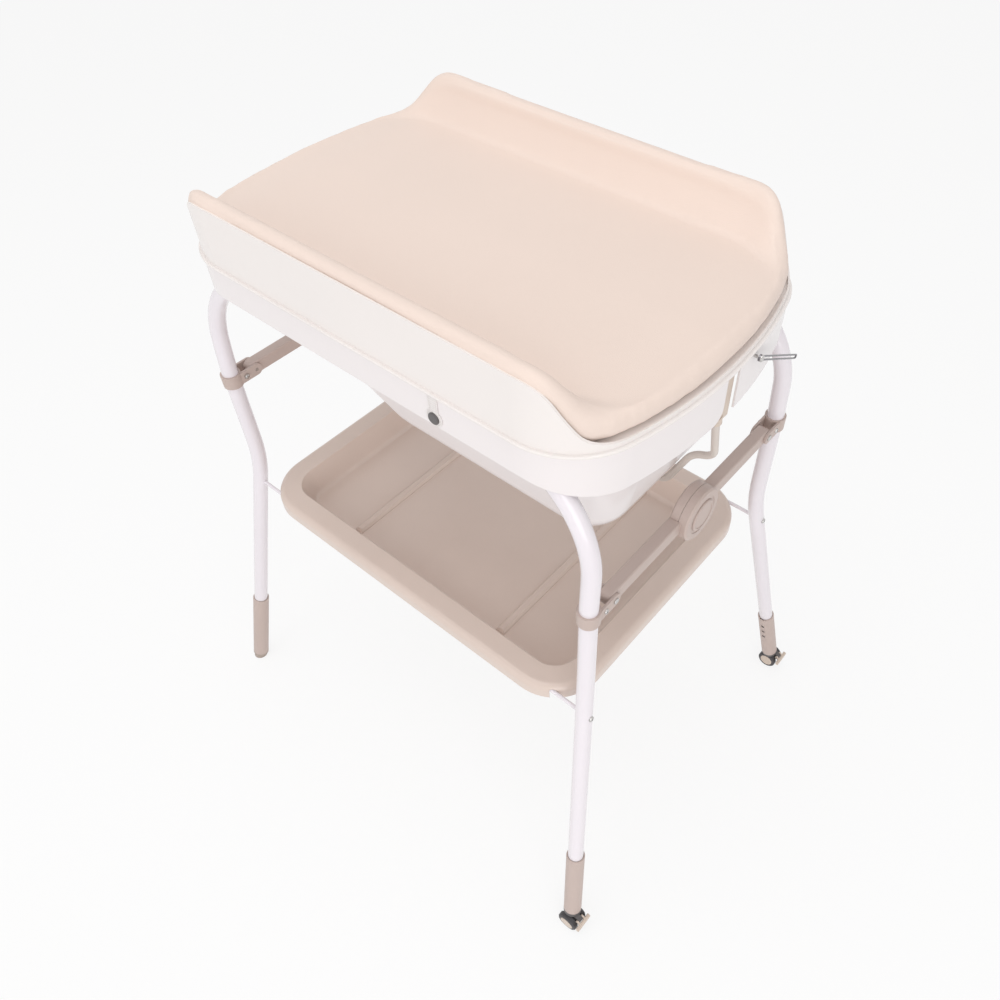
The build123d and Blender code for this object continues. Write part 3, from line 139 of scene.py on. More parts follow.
class Graph:
    """Adds nodes to one node tree and joins them."""

    def __init__(self, tree: bpy.types.NodeTree) -> None:
        """Empties the tree that the nodes go into.

        Args:
            tree: The tree of a material, a world or a node group.
        """
        self.tree = tree
        tree.nodes.clear()

    def add(self, kind: str, **settings: object) -> bpy.types.Node:
        """Adds a node.

        Args:
            kind: The node's type, without its first word where that is ShaderNode.
            settings: The node's own options by name.

        Returns:
            The new node.
        """
        node = self.tree.nodes.new(kind if kind.startswith("Node") else "ShaderNode" + kind)
        for name, value in settings.items():
            setattr(node, name, value)
        return node

    def feed(self, socket: Socket, value: object) -> None:
        """Joins a socket to an output, or sets it to a plain value.

        Args:
            socket: The input that is fed.
            value: An output socket, or a number or colour.
        """
        if isinstance(value, Socket):
            self.tree.links.new(value, socket)
        else:
            socket.default_value = value

    def node(self, kind: str, inputs: dict[str, object], output: str, **settings: object) -> Socket:
        """Adds a node with its inputs fed, and gives one of its outputs.

        Args:
            kind: The node's type.
            inputs: What feeds each input, by the input's name.
            output: The name of the output.
            settings: The node's own options by name.

        Returns:
            The output socket.
        """
        node = self.add(kind, **settings)
        for name, value in inputs.items():
            self.feed(node.inputs[name], value)
        return node.outputs[output]

    def sum(self, operation: str, *values: object) -> Socket:
        """Adds a maths node.

        Args:
            operation: Which sum it does.
            values: Its inputs in order, as sockets or numbers.

        Returns:
            The result's socket.
        """
        node = self.add("Math", operation=operation)
        for socket, value in zip(node.inputs, values):
            self.feed(socket, value)
        return node.outputs[0]

    def spread(self, value: object, low: float, high: float, start: object, end: object) -> Socket:
        """Maps a range of values onto another, held at both ends.

        Args:
            value: The value that is mapped.
            low: Where the first range starts.
            high: Where the first range ends.
            start: The result at low.
            end: The result at high.

        Returns:
            The mapped value's socket.
        """
        node = self.add("MapRange")
        for socket, fed in zip(node.inputs, (value, low, high, start, end)):
            self.feed(socket, fed)
        return node.outputs[0]

    def group(self, effect: bpy.types.NodeTree, inputs: dict[str, object]) -> bpy.types.Node:
        """Places a shared effect.

        Args:
            effect: The effect's node group.
            inputs: What feeds each of its inputs, by name.

        Returns:
            The group's node.
        """
        node = self.add("Group", node_tree=effect)
        for name, value in inputs.items():
            self.feed(node.inputs[name], value)
        return node


class Effects:
    """The node groups that several finishes share. Each is built once, the first time that it is asked for.

    A scale counts a pattern's features to the metre, and a limit is where a mask starts or ends.
    """

    speck_scale = 420.0
    patch_share = 0.75
    drift_limits = (0.3, 0.7)
    grain_share = 0.6
    ripple_scale = 38.0
    smear_scale = 14.0
    smear_bend = 1.2
    scratch_turn = (0.4, 0.9, 0.6)
    scratch_scale = (320.0, 9.0, 60.0)
    scratch_limits = (0.68, 0.74)
    scratch_share = 0.35
    least_roughness = 0.04
    edge_limits = (0.80, 0.985)
    broken_scale = 130.0
    broken_limits = (0.42, 0.62)

    @staticmethod
    def start(
        name: str, inputs: dict[str, str], outputs: dict[str, str]
    ) -> tuple[Graph, bpy.types.Node, bpy.types.Node]:
        """Starts a node group.

        Args:
            name: The group's name.
            inputs: The kind of each input socket, by name.
            outputs: The kind of each output socket, by name.

        Returns:
            The group's graph, its input node and its output node.
        """
        tree = bpy.data.node_groups.new(name, "ShaderNodeTree")
        for direction, sockets in (("INPUT", inputs), ("OUTPUT", outputs)):
            for label, kind in sockets.items():
                tree.interface.new_socket(name=label, in_out=direction, socket_type="NodeSocket" + kind)
        graph = Graph(tree)
        return graph, graph.add("NodeGroupInput"), graph.add("NodeGroupOutput")

    @classmethod
    def tone_drift(cls) -> bpy.types.NodeTree:
        """Gives a colour that drifts a little lighter and darker over patches and specks."""
        name = "tone_drift"
        if name in bpy.data.node_groups:
            return bpy.data.node_groups[name]
        sockets = {"Tint": "Color", "Drift": "Float", "Patches": "Float"}
        graph, given, result = cls.start(name, sockets, {"Colour": "Color"})
        place = graph.add("TexCoord").outputs["Object"]
        patches = graph.node("TexNoise", {
            "Vector": place, "Scale": given.outputs["Patches"], "Detail": 3.0, "Roughness": 0.55,
        }, "Fac")
        specks = graph.node("TexNoise", {"Vector": place, "Scale": cls.speck_scale, "Detail": 2.0}, "Fac")
        large = graph.sum("MULTIPLY", patches, cls.patch_share)
        mixed = graph.sum("ADD", large, graph.sum("MULTIPLY", specks, 1 - cls.patch_share))
        low = graph.sum("SUBTRACT", 1.0, given.outputs["Drift"])
        high = graph.sum("ADD", 1.0, given.outputs["Drift"])
        level = graph.spread(mixed, *cls.drift_limits, low, high)
        colour = graph.node("HueSaturation", {
            "Hue": 0.5, "Saturation": 1.0, "Value": level, "Fac": 1.0, "Color": given.outputs["Tint"],
        }, "Color")
        graph.feed(result.inputs["Colour"], colour)
        return graph.tree

    @classmethod
    def moulded_grain(cls) -> bpy.types.NodeTree:
        """Gives the height of a mould's fine grain: small pits between rounded grains, with a slow ripple."""
        name = "moulded_grain"
        if name in bpy.data.node_groups:
            return bpy.data.node_groups[name]
        graph, given, result = cls.start(name, {"Grains": "Float", "Ripple": "Float"}, {"Height": "Float"})
        place = graph.add("TexCoord").outputs["Object"]
        grains = graph.node("TexVoronoi", {"Vector": place, "Scale": given.outputs["Grains"]}, "Distance")
        rounded = graph.sum("SUBTRACT", 1.0, graph.sum("POWER", grains, 2.0))
        scale = given.outputs["Grains"]
        cloud = graph.node("TexNoise", {"Vector": place, "Scale": scale, "Detail": 2.0}, "Fac")
        round_part = graph.sum("MULTIPLY", rounded, cls.grain_share)
        fine = graph.sum("ADD", round_part, graph.sum("MULTIPLY", cloud, 1 - cls.grain_share))
        slow = graph.node("TexNoise", {"Vector": place, "Scale": cls.ripple_scale, "Detail": 1.0}, "Fac")
        height = graph.sum("ADD", fine, graph.sum("MULTIPLY", slow, given.outputs["Ripple"]))
        graph.feed(result.inputs["Height"], height)
        return graph.tree

    @classmethod
    def handling_marks(cls) -> bpy.types.NodeTree:
        """Gives a roughness that wiping and handling have changed: smears, and a few hairline scratches."""
        name = "handling_marks"
        if name in bpy.data.node_groups:
            return bpy.data.node_groups[name]
        sockets = {"Roughness": "Float", "Marks": "Float"}
        graph, given, result = cls.start(name, sockets, {"Roughness": "Float"})
        place = graph.add("TexCoord").outputs["Object"]
        smears = graph.node("TexNoise", {
            "Vector": place, "Scale": cls.smear_scale, "Detail": 4.0, "Distortion": cls.smear_bend,
        }, "Fac")
        turned = graph.add("Mapping")
        graph.feed(turned.inputs["Vector"], place)
        turned.inputs["Rotation"].default_value = cls.scratch_turn
        turned.inputs["Scale"].default_value = cls.scratch_scale
        hairs = graph.node("TexNoise", {"Vector": turned.outputs[0], "Scale": 1.0, "Detail": 1.0}, "Fac")
        scratches = graph.spread(hairs, *cls.scratch_limits, 0.0, 1.0)
        marks = given.outputs["Marks"]
        wiped = graph.sum("MULTIPLY", graph.sum("SUBTRACT", smears, 0.5), marks)
        scored = graph.sum("MULTIPLY", scratches, graph.sum("MULTIPLY", marks, cls.scratch_share))
        rough = graph.sum("ADD", graph.sum("ADD", given.outputs["Roughness"], wiped), scored)
        graph.feed(result.inputs["Roughness"], graph.sum("MAXIMUM", rough, cls.least_roughness))
        return graph.tree

    @classmethod
    def eased_edges(cls) -> bpy.types.NodeTree:
        """Gives the normal of edges that are eased by a radius, and a mask of where wear reaches them."""
        name = "eased_edges"
        if name in bpy.data.node_groups:
            return bpy.data.node_groups[name]
        graph, given, result = cls.start(name, {"Radius": "Float"}, {"Normal": "Vector", "Wear": "Float"})
        eased = graph.node("Bevel", {"Radius": given.outputs["Radius"]}, "Normal", samples=4)
        plain = graph.add("NewGeometry").outputs["Normal"]
        facing = graph.add("VectorMath", operation="DOT_PRODUCT")
        graph.feed(facing.inputs[0], eased)
        graph.feed(facing.inputs[1], plain)
        edge = graph.spread(facing.outputs["Value"], *cls.edge_limits, 1.0, 0.0)
        place = graph.add("TexCoord").outputs["Object"]
        broken = graph.node("TexNoise", {"Vector": place, "Scale": cls.broken_scale, "Detail": 3.0}, "Fac")
        worn = graph.sum("MULTIPLY", edge, graph.spread(broken, *cls.broken_limits, 0.0, 1.0))
        graph.feed(result.inputs["Normal"], eased)
        graph.feed(result.inputs["Wear"], worn)
        return graph.tree


@dataclass(frozen=True)
class Finish:
    """A surface finish. Each kind below adds its own gloss, relief or sheen to these shared values.

    Patches and grains are counted to the metre; drift, marks, ripple and wear are strengths from 0 up.
    """

    name: str
    tint: Tint
    roughness: float
    drift: float = 0.025
    patches: float = 7.0
    marks: float = 0.06
    grains: float = 900.0
    ripple: float = 0.4
    relief: float = 0.08 * MM
    edge_radius: float = 0.6 * MM
    wear: float = 0.12
    worn_tone: ClassVar[tuple[float, float, float, float]] = (0.7, 0.7, 0.7, 1.0)

    def material(self) -> bpy.types.Material:
        """Gives the finish's material, which is built the first time."""
        found = bpy.data.materials.get(self.name)
        if found:
            return found
        made = bpy.data.materials.new(self.name)
        made.use_nodes = True
        made.diffuse_color = self.tint.linear()
        graph = Graph(made.node_tree)
        shader = graph.add("BsdfPrincipled")
        graph.feed(graph.add("OutputMaterial").inputs["Surface"], shader.outputs["BSDF"])
        edges = graph.group(Effects.eased_edges(), {"Radius": self.edge_radius})
        toned = graph.group(Effects.tone_drift(), {
            "Tint": self.tint.linear(), "Drift": self.drift, "Patches": self.patches,
        }).outputs["Colour"]
        rubbed = graph.add("Mix", data_type="RGBA", blend_type="SCREEN")
        graph.feed(rubbed.inputs["Factor"], graph.sum("MULTIPLY", edges.outputs["Wear"], self.wear))
        graph.feed(rubbed.inputs["A"], self.coloured(graph, toned))
        graph.feed(rubbed.inputs["B"], self.worn_tone)
        graph.feed(shader.inputs["Base Color"], rubbed.outputs["Result"])
        rough = graph.group(Effects.handling_marks(), {"Roughness": self.roughness, "Marks": self.marks})
        graph.feed(shader.inputs["Roughness"], rough.outputs["Roughness"])
        bump = graph.add("Bump")
        bump.inputs["Strength"].default_value = 1.0
        bump.inputs["Distance"].default_value = self.relief
        graph.feed(bump.inputs["Height"], self.height(graph))
        graph.feed(bump.inputs["Normal"], edges.outputs["Normal"])
        graph.feed(shader.inputs["Normal"], bump.outputs["Normal"])
        for socket, value in self.shader_values().items():
            shader.inputs[socket].default_value = value
        return made

    def coloured(self, graph: Graph, toned: Socket) -> Socket:
        """Gives the finish's colour from its drifting tone, which a plain finish keeps as it is.

        Args:
            graph: The material's graph.
            toned: The drifting tone.

        Returns:
            The colour's socket.
        """
        return toned

    def height(self, graph: Graph) -> Socket:
        """Gives the relief of the surface.

        Args:
            graph: The material's graph.

        Returns:
            The height's socket.
        """
        grain = graph.group(Effects.moulded_grain(), {"Grains": self.grains, "Ripple": self.ripple})
        return grain.outputs["Height"]

    def shader_values(self) -> dict[str, float]:
        """Gives the shader's own values, which are the same all over the surface."""
        return {"Specular IOR Level": 0.5}


@dataclass(frozen=True)
class MouldedPlastic(Finish):
    """Injection-moulded plastic, from matt to glossy by its roughness and coat."""

    coat: float = 0.0

    def shader_values(self) -> dict[str, float]:
        """Gives the plastic's gloss."""
        return {"Specular IOR Level": 0.45, "Coat Weight": self.coat, "Coat Roughness": 0.12}


@dataclass(frozen=True)
class PowderCoat(Finish):
    """Powder-coated steel: a glossy coat with a soft orange-peel ripple."""

    def shader_values(self) -> dict[str, float]:
        """Gives the coat's gloss."""
        return {"Specular IOR Level": 0.5, "Coat Weight": 0.5, "Coat Roughness": 0.1}


@dataclass(frozen=True)
class PlatedSteel(Finish):
    """Zinc-plated or polished steel with drawn lines along its length."""

    drawn: tuple[float, float, float] = (40.0, 900.0, 900.0)

    def height(self, graph: Graph) -> Socket:
        """Gives the drawn lines of the metal.

        Args:
            graph: The material's graph.

        Returns:
            The height's socket.
        """
        stretched = graph.add("Mapping")
        graph.feed(stretched.inputs["Vector"], graph.add("TexCoord").outputs["Object"])
        stretched.inputs["Scale"].default_value = self.drawn
        return graph.node("TexNoise", {"Vector": stretched.outputs[0], "Scale": 1.0, "Detail": 3.0}, "Fac")

    def shader_values(self) -> dict[str, float]:
        """Gives a bare metal's values."""
        return {"Metallic": 1.0, "Specular IOR Level": 0.5}


@dataclass(frozen=True)
class SoftRubber(Finish):
    """Rubber and flexible tube: matt, with a faint bloom."""

    def shader_values(self) -> dict[str, float]:
        """Gives the rubber's dull gloss and its bloom."""
        return {"Specular IOR Level": 0.3, "Sheen Weight": 0.1, "Sheen Roughness": 0.5}


@dataclass(frozen=True)
class LeatherCloth(Finish):
    """The pad's wipe-clean cover: a coated cloth with a fine pebble grain and shallow creases."""

    pebbles: float = 620.0
    pebble_edge: float = 0.35
    pebble_share: float = 0.7

    def height(self, graph: Graph) -> Socket:
        """Gives the pebble grain with its net of creases.

        Args:
            graph: The material's graph.

        Returns:
            The height's socket.
        """
        place = graph.add("TexCoord").outputs["Object"]
        net = graph.node(
            "TexVoronoi", {"Vector": place, "Scale": self.pebbles}, "Distance", feature="DISTANCE_TO_EDGE"
        )
        domes = graph.spread(net, 0.0, self.pebble_edge, 0.0, 1.0)
        grain = graph.group(Effects.moulded_grain(), {"Grains": self.grains, "Ripple": self.ripple})
        return graph.sum("ADD", graph.sum("MULTIPLY", domes, self.pebble_share), grain.outputs["Height"])

    def shader_values(self) -> dict[str, float]:
        """Gives the cover's soft sheen."""
        return {"Specular IOR Level": 0.35, "Sheen Weight": 0.12, "Sheen Roughness": 0.45}


@dataclass(frozen=True)
class Webbing(Finish):
    """Woven strap: ribs across the strap, with the warp's threads along it."""

    ribs: float = 1000.0
    threads: float = 1400.0
    # How dark the painted shade between the threads is, and its tone.
    painted_shade_share: float = 0.35
    painted_shade_tone: ClassVar[tuple[float, float, float, float]] = (0.6, 0.58, 0.58, 1.0)
    bands_per_scale: ClassVar[int] = 10

    def weave(self, graph: Graph, direction: str, scale: float) -> Socket:
        """Gives one set of threads.

        Args:
            graph: The material's graph.
            direction: The axis that the threads are counted along.
            scale: How many threads there are to the metre.

        Returns:
            The threads' height, from 0 to 1.
        """
        place = graph.add("TexCoord").outputs["Object"]
        return graph.node("TexWave", {
            "Vector": place, "Scale": scale / self.bands_per_scale, "Distortion": 0.4, "Detail": 1.0,
        }, "Fac", wave_type="BANDS", bands_direction=direction)

    def height(self, graph: Graph) -> Socket:
        """Gives the weave's relief.

        Args:
            graph: The material's graph.

        Returns:
            The height's socket.
        """
        return graph.sum("MULTIPLY", self.weave(graph, "Z", self.ribs), self.weave(graph, "X", self.threads))

    def coloured(self, graph: Graph, toned: Socket) -> Socket:
        """Paints shade between the threads by darkening the tone there.

        Args:
            graph: The material's graph.
            toned: The drifting tone.

        Returns:
            The colour's socket.
        """
        shade = graph.add("Mix", data_type="RGBA", blend_type="MULTIPLY")
        # Painted shade: the tone darkens where the ribs dip between the threads.
        gaps = graph.spread(self.weave(graph, "Z", self.ribs), 0.0, 0.5, self.painted_shade_share, 0.0)
        graph.feed(shade.inputs["Factor"], gaps)
        graph.feed(shade.inputs["A"], toned)
        graph.feed(shade.inputs["B"], self.painted_shade_tone)
        return shade.outputs["Result"]

    def shader_values(self) -> dict[str, float]:
        """Gives the threads' sheen."""
        return {"Specular IOR Level": 0.3, "Sheen Weight": 0.3, "Sheen Roughness": 0.4}


FINISHES: dict[str, Finish] = {
    "frame_paint": PowderCoat(
        "white_powder_coat", Tint(236, 230, 235), 0.26, drift=0.012, marks=0.02, grains=260.0, ripple=1.2,
        relief=0.05 * MM,
    ),
    "stay_plastic": MouldedPlastic("taupe_stay_plastic", Tint(196, 178, 170), 0.42, grains=1300.0),
    "tray_plastic": MouldedPlastic(
        "taupe_tray_plastic", Tint(220, 202, 191), 0.34, grains=1100.0, relief=0.06 * MM, coat=0.3
    ),
    "bath_plastic": MouldedPlastic(
        "white_bath_plastic", Tint(239, 233, 233), 0.24, drift=0.01, marks=0.0, grains=1600.0, ripple=2.5,
        relief=0.006 * MM, coat=0.25,
    ),
    "top_plastic": MouldedPlastic(
        "white_top_plastic", Tint(240, 234, 231), 0.27, drift=0.01, marks=0.0, grains=1600.0, ripple=2.5,
        relief=0.006 * MM, coat=0.2,
    ),
    "pad_cover": LeatherCloth(
        "pale_pink_cover", Tint(236, 218, 207), 0.52, drift=0.015, patches=4.0, grains=1500.0, ripple=1.5,
        relief=0.1 * MM, wear=0.0, edge_radius=1.0 * MM,
    ),
    "strap_webbing": Webbing(
        "white_webbing", Tint(236, 231, 229), 0.7, relief=0.25 * MM, edge_radius=0.3 * MM
    ),
    "steel": PlatedSteel("zinc_plated_steel", Tint(196, 194, 192), 0.26, drift=0.05, relief=0.02 * MM),
    "dark_plastic": MouldedPlastic(
        "dark_cap_plastic", Tint(92, 88, 88), 0.35, grains=1500.0, relief=0.04 * MM
    ),
    "wheel_rubber": SoftRubber("dark_wheel_rubber", Tint(78, 76, 78), 0.62, grains=1500.0),
    "hub_plastic": MouldedPlastic("beige_hub_plastic", Tint(214, 198, 184), 0.4, grains=1500.0),
    "foot_rubber": SoftRubber("taupe_foot_rubber", Tint(176, 162, 152), 0.62, grains=1300.0),
    "drain_plastic": MouldedPlastic("pale_drain_plastic", Tint(218, 210, 204), 0.38, grains=1200.0),
    "hose_plastic": SoftRubber("pale_hose", Tint(214, 204, 196), 0.42, grains=800.0, relief=0.05 * MM),
}
THREAD = Webbing("sewing_thread", Tint(226, 219, 215), 0.75, ribs=3000.0, threads=3000.0, relief=0.05 * MM)
POLISHED_WIRE = PlatedSteel("polished_wire_steel", Tint(128, 126, 130), 0.16, drift=0.03, relief=0.01 * MM)
# Dark finish of the rings that paint the shadow where each leg enters its sleeve.
SHADOW_LINE = MouldedPlastic("painted_gap_shadow", Tint(128, 116, 110), 0.6, relief=0.04 * MM)


class Skin:
    """The surface of a CAD node, which small pieces are set down on."""

    def __init__(self, node: str) -> None:
        """Reads the node's mesh.

        Args:
            node: The node's name.
        """
        mesh = frame["nodes"][node].data
        self.points = [vertex.co.copy() for vertex in mesh.vertices]
        self.tree = BVHTree.FromPolygons(self.points, [tuple(face.vertices) for face in mesh.polygons])

    def hit(self, start: Vector, towards: Vector) -> tuple[Vector, Vector]:
        """Finds where a straight line meets the surface.

        Args:
            start: Where the line starts, in metres.
            towards: The line's direction.

        Returns:
            The point on the surface and the surface's direction outwards there.
        """
        point, normal, _, _ = self.tree.ray_cast(start, towards.normalized())
        if point is None:
            raise ValueError(f"nothing lies from {tuple(start)} towards {tuple(towards)}")
        if normal.dot(towards) > 0:
            normal.negate()
        return point, normal

    def hold(self, point: Vector, least: float, most: float) -> Vector:
        """Keeps a point near the surface.

        Args:
            point: The point.
            least: How far out it stands at least, in metres, negative for inside.
            most: How far out it may stand.

        Returns:
            The point, moved along the surface's normal where it was out of these limits.
        """
        near, normal, _, _ = self.tree.find_nearest(point)
        out = (point - near).dot(normal)
        return point + normal * (min(max(out, least), most) - out)


def standing(place: Vector, outwards: Vector) -> Matrix:
    """Gives the place of a piece that is built upright at the origin.

    Args:
        place: Where its foot goes.
        outwards: The direction that its top turns to.

    Returns:
        The matrix that takes it there.
    """
    return Matrix.Translation(place) @ outwards.to_track_quat("Z", "Y").to_matrix().to_4x4()


def make_piece(name: str, mesh: bmesh.types.BMesh, finish: Finish, body: str) -> Piece:
    """Turns a finished bmesh into a piece of the scene.

    Args:
        name: The piece's name.
        mesh: Its mesh, in place, which is freed here.
        finish: Its finish.
        body: The body that it rides on.

    Returns:
        The new object.
    """
    bmesh.ops.recalc_face_normals(mesh, faces=mesh.faces)
    data = bpy.data.meshes.new(name)
    mesh.to_mesh(data)
    mesh.free()
    data.shade_smooth()
    data.set_sharp_from_angle(angle=SMOOTH_ANGLE)
    data.materials.append(finish.material())
    piece = bpy.data.objects.new(name, data)
    bpy.context.scene.collection.objects.link(piece)
    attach(piece, body)
    return piece


def node_copy(node: str) -> bmesh.types.BMesh:
    """Gives a merged copy of a CAD node's mesh.

    Args:
        node: The node's name.

    Returns:
        The copy, with its loose triangles joined.
    """
    mesh = bmesh.new()
    mesh.from_mesh(frame["nodes"][node].data)
    bmesh.ops.remove_doubles(mesh, verts=mesh.verts, dist=MERGE_DISTANCE)
    return mesh


@dataclass(frozen=True)
class PanScrew:
    """A pan-head screw with a cross recess. It is built with its seat at z 0, pointing up."""

    radius: float = 4.5 * MM
    height: float = 2.6 * MM
    recess_half_length: float = 2.3 * MM
    recess_half_width: float = 0.55 * MM
    recess_depth: float = 1.4 * MM
    sunk: float = 0.3 * MM
    segments: int = 32
    side_share: float = 0.4
    crown_shares: tuple[tuple[float, float], ...] = ((0.08, 0.3), (0.14, 0.2), (0.2, 0.1))

    def build(self, name: str, place: Vector, outwards: Vector, body: str) -> Piece:
        """Builds the screw on a surface.

        Args:
            name: The screw's name.
            place: The middle of its seat.
            outwards: The surface's direction outwards.
            body: The body that it rides on.

        Returns:
            The screw.
        """
        mesh = bmesh.new()
        bmesh.ops.create_circle(mesh, cap_ends=True, segments=self.segments, radius=self.radius)
        base = mesh.faces[:]
        raised = bmesh.ops.extrude_face_region(mesh, geom=base)["geom"]
        top = [part for part in raised if isinstance(part, bmesh.types.BMFace)]
        corners = [part for part in raised if isinstance(part, bmesh.types.BMVert)]
        bmesh.ops.translate(mesh, verts=corners, vec=(0, 0, self.height * self.side_share))
        for thickness, rise in self.crown_shares:
            bmesh.ops.inset_region(
                mesh, faces=top, thickness=self.radius * thickness, depth=self.height * rise,
                use_even_offset=True,
            )
        self.cut_recess(mesh, top)
        lower = mesh.verts[:]
        bmesh.ops.translate(mesh, verts=lower, vec=(0, 0, -self.sunk))
        bmesh.ops.transform(mesh, verts=lower, matrix=standing(place, outwards))
        return make_piece(name, mesh, FINISHES["steel"], body)

    def cut_recess(self, mesh: bmesh.types.BMesh, top: list[bmesh.types.BMFace]) -> None:
        """Cuts the cross into the screw's top.

        Args:
            mesh: The screw's mesh.
            top: The flat face in the middle of the head.
        """
        level = top[0].calc_center_median().z
        width, length = self.recess_half_width, self.recess_half_length
        for axis in ((1, 0, 0), (0, 1, 0)):
            for reach in (-length, -width, width, length):
                flat = [f for f in mesh.faces if abs(f.calc_center_median().z - level) < MERGE_DISTANCE]
                edges = list({edge for face in flat for edge in face.edges})
                parts = flat + edges + list({vertex for face in flat for vertex in face.verts})
                bmesh.ops.bisect_plane(mesh, geom=parts, plane_co=Vector(axis) * reach, plane_no=axis)
        cross = []
        for face in mesh.faces:
            centre = face.calc_center_median()
            if abs(centre.z - level) > MERGE_DISTANCE:
                continue
            across, along = sorted((abs(centre.x), abs(centre.y)))
            if across < width and along < length:
                cross.append(face)
        sunk = bmesh.ops.extrude_face_region(mesh, geom=cross)["geom"]
        corners = [part for part in sunk if isinstance(part, bmesh.types.BMVert)]
        bmesh.ops.translate(mesh, verts=corners, vec=(0, 0, -self.recess_depth))


@dataclass(frozen=True)
class HexNut:
    """A hexagonal nut with a domed end, built with its seat at z 0."""

    radius: float = 4.6 * MM
    height: float = 3.2 * MM
    sunk: float = 0.3 * MM
    flat_share: float = 0.35
    dome_share: float = 0.12
    dome_rise_share: float = 0.3
    edge_share: float = 0.06

    def build(self, name: str, place: Vector, outwards: Vector, body: str) -> Piece:
        """Builds the nut on a surface.

        Args:
            name: The nut's name.
            place: The middle of its seat.
            outwards: The surface's direction outwards.
            body: The body that it rides on.

        Returns:
            The nut.
        """
        mesh = bmesh.new()
        bmesh.ops.create_circle(mesh, cap_ends=True, segments=6, radius=self.radius)
        raised = bmesh.ops.extrude_face_region(mesh, geom=mesh.faces[:])["geom"]
        corners = [part for part in raised if isinstance(part, bmesh.types.BMVert)]
        top = [part for part in raised if isinstance(part, bmesh.types.BMFace)]
        bmesh.ops.translate(mesh, verts=corners, vec=(0, 0, self.height))
        bmesh.ops.inset_region(mesh, faces=top, thickness=self.radius * self.flat_share, depth=0.0)
        bmesh.ops.inset_region(
            mesh, faces=top, thickness=self.radius * self.dome_share, depth=self.height * self.dome_rise_share
        )
        bmesh.ops.bevel(
            mesh, geom=mesh.edges[:], offset=self.radius * self.edge_share, offset_type="OFFSET", segments=2,
            profile=0.5, affect="EDGES", material=-1,
        )
        bmesh.ops.translate(mesh, verts=mesh.verts[:], vec=(0, 0, -self.sunk))
        bmesh.ops.transform(mesh, verts=mesh.verts[:], matrix=standing(place, outwards))
        return make_piece(name, mesh, FINISHES["steel"], body)


class SubAssembly:
    """A part of the changing table: the CAD nodes that it dresses, and the pieces that it adds."""

    nodes: tuple[str, ...] = ()
    own_finishes: dict[str, Finish] = {}

    def build(self) -> list[Piece]:
        """Builds the pieces that this part adds. A part without any gives an empty list."""
        return []

    def dress(self) -> int:
        """Gives each CAD node of this part its own finish, or else the finish of its slot.

        Returns:
            How many nodes were dressed.
        """
        slots = {row["node"]: row["material_slot"] for row in frame["record"]["subparts"]}
        dressed = [name for name in slots if any(fnmatch(name, pattern) for pattern in self.nodes)]
        for name in dressed:
            finish = self.own_finishes.get(name) or FINISHES[slots[name]]
            for holder in frame["nodes"][name].material_slots:
                holder.material = finish.material()
        return len(dressed)


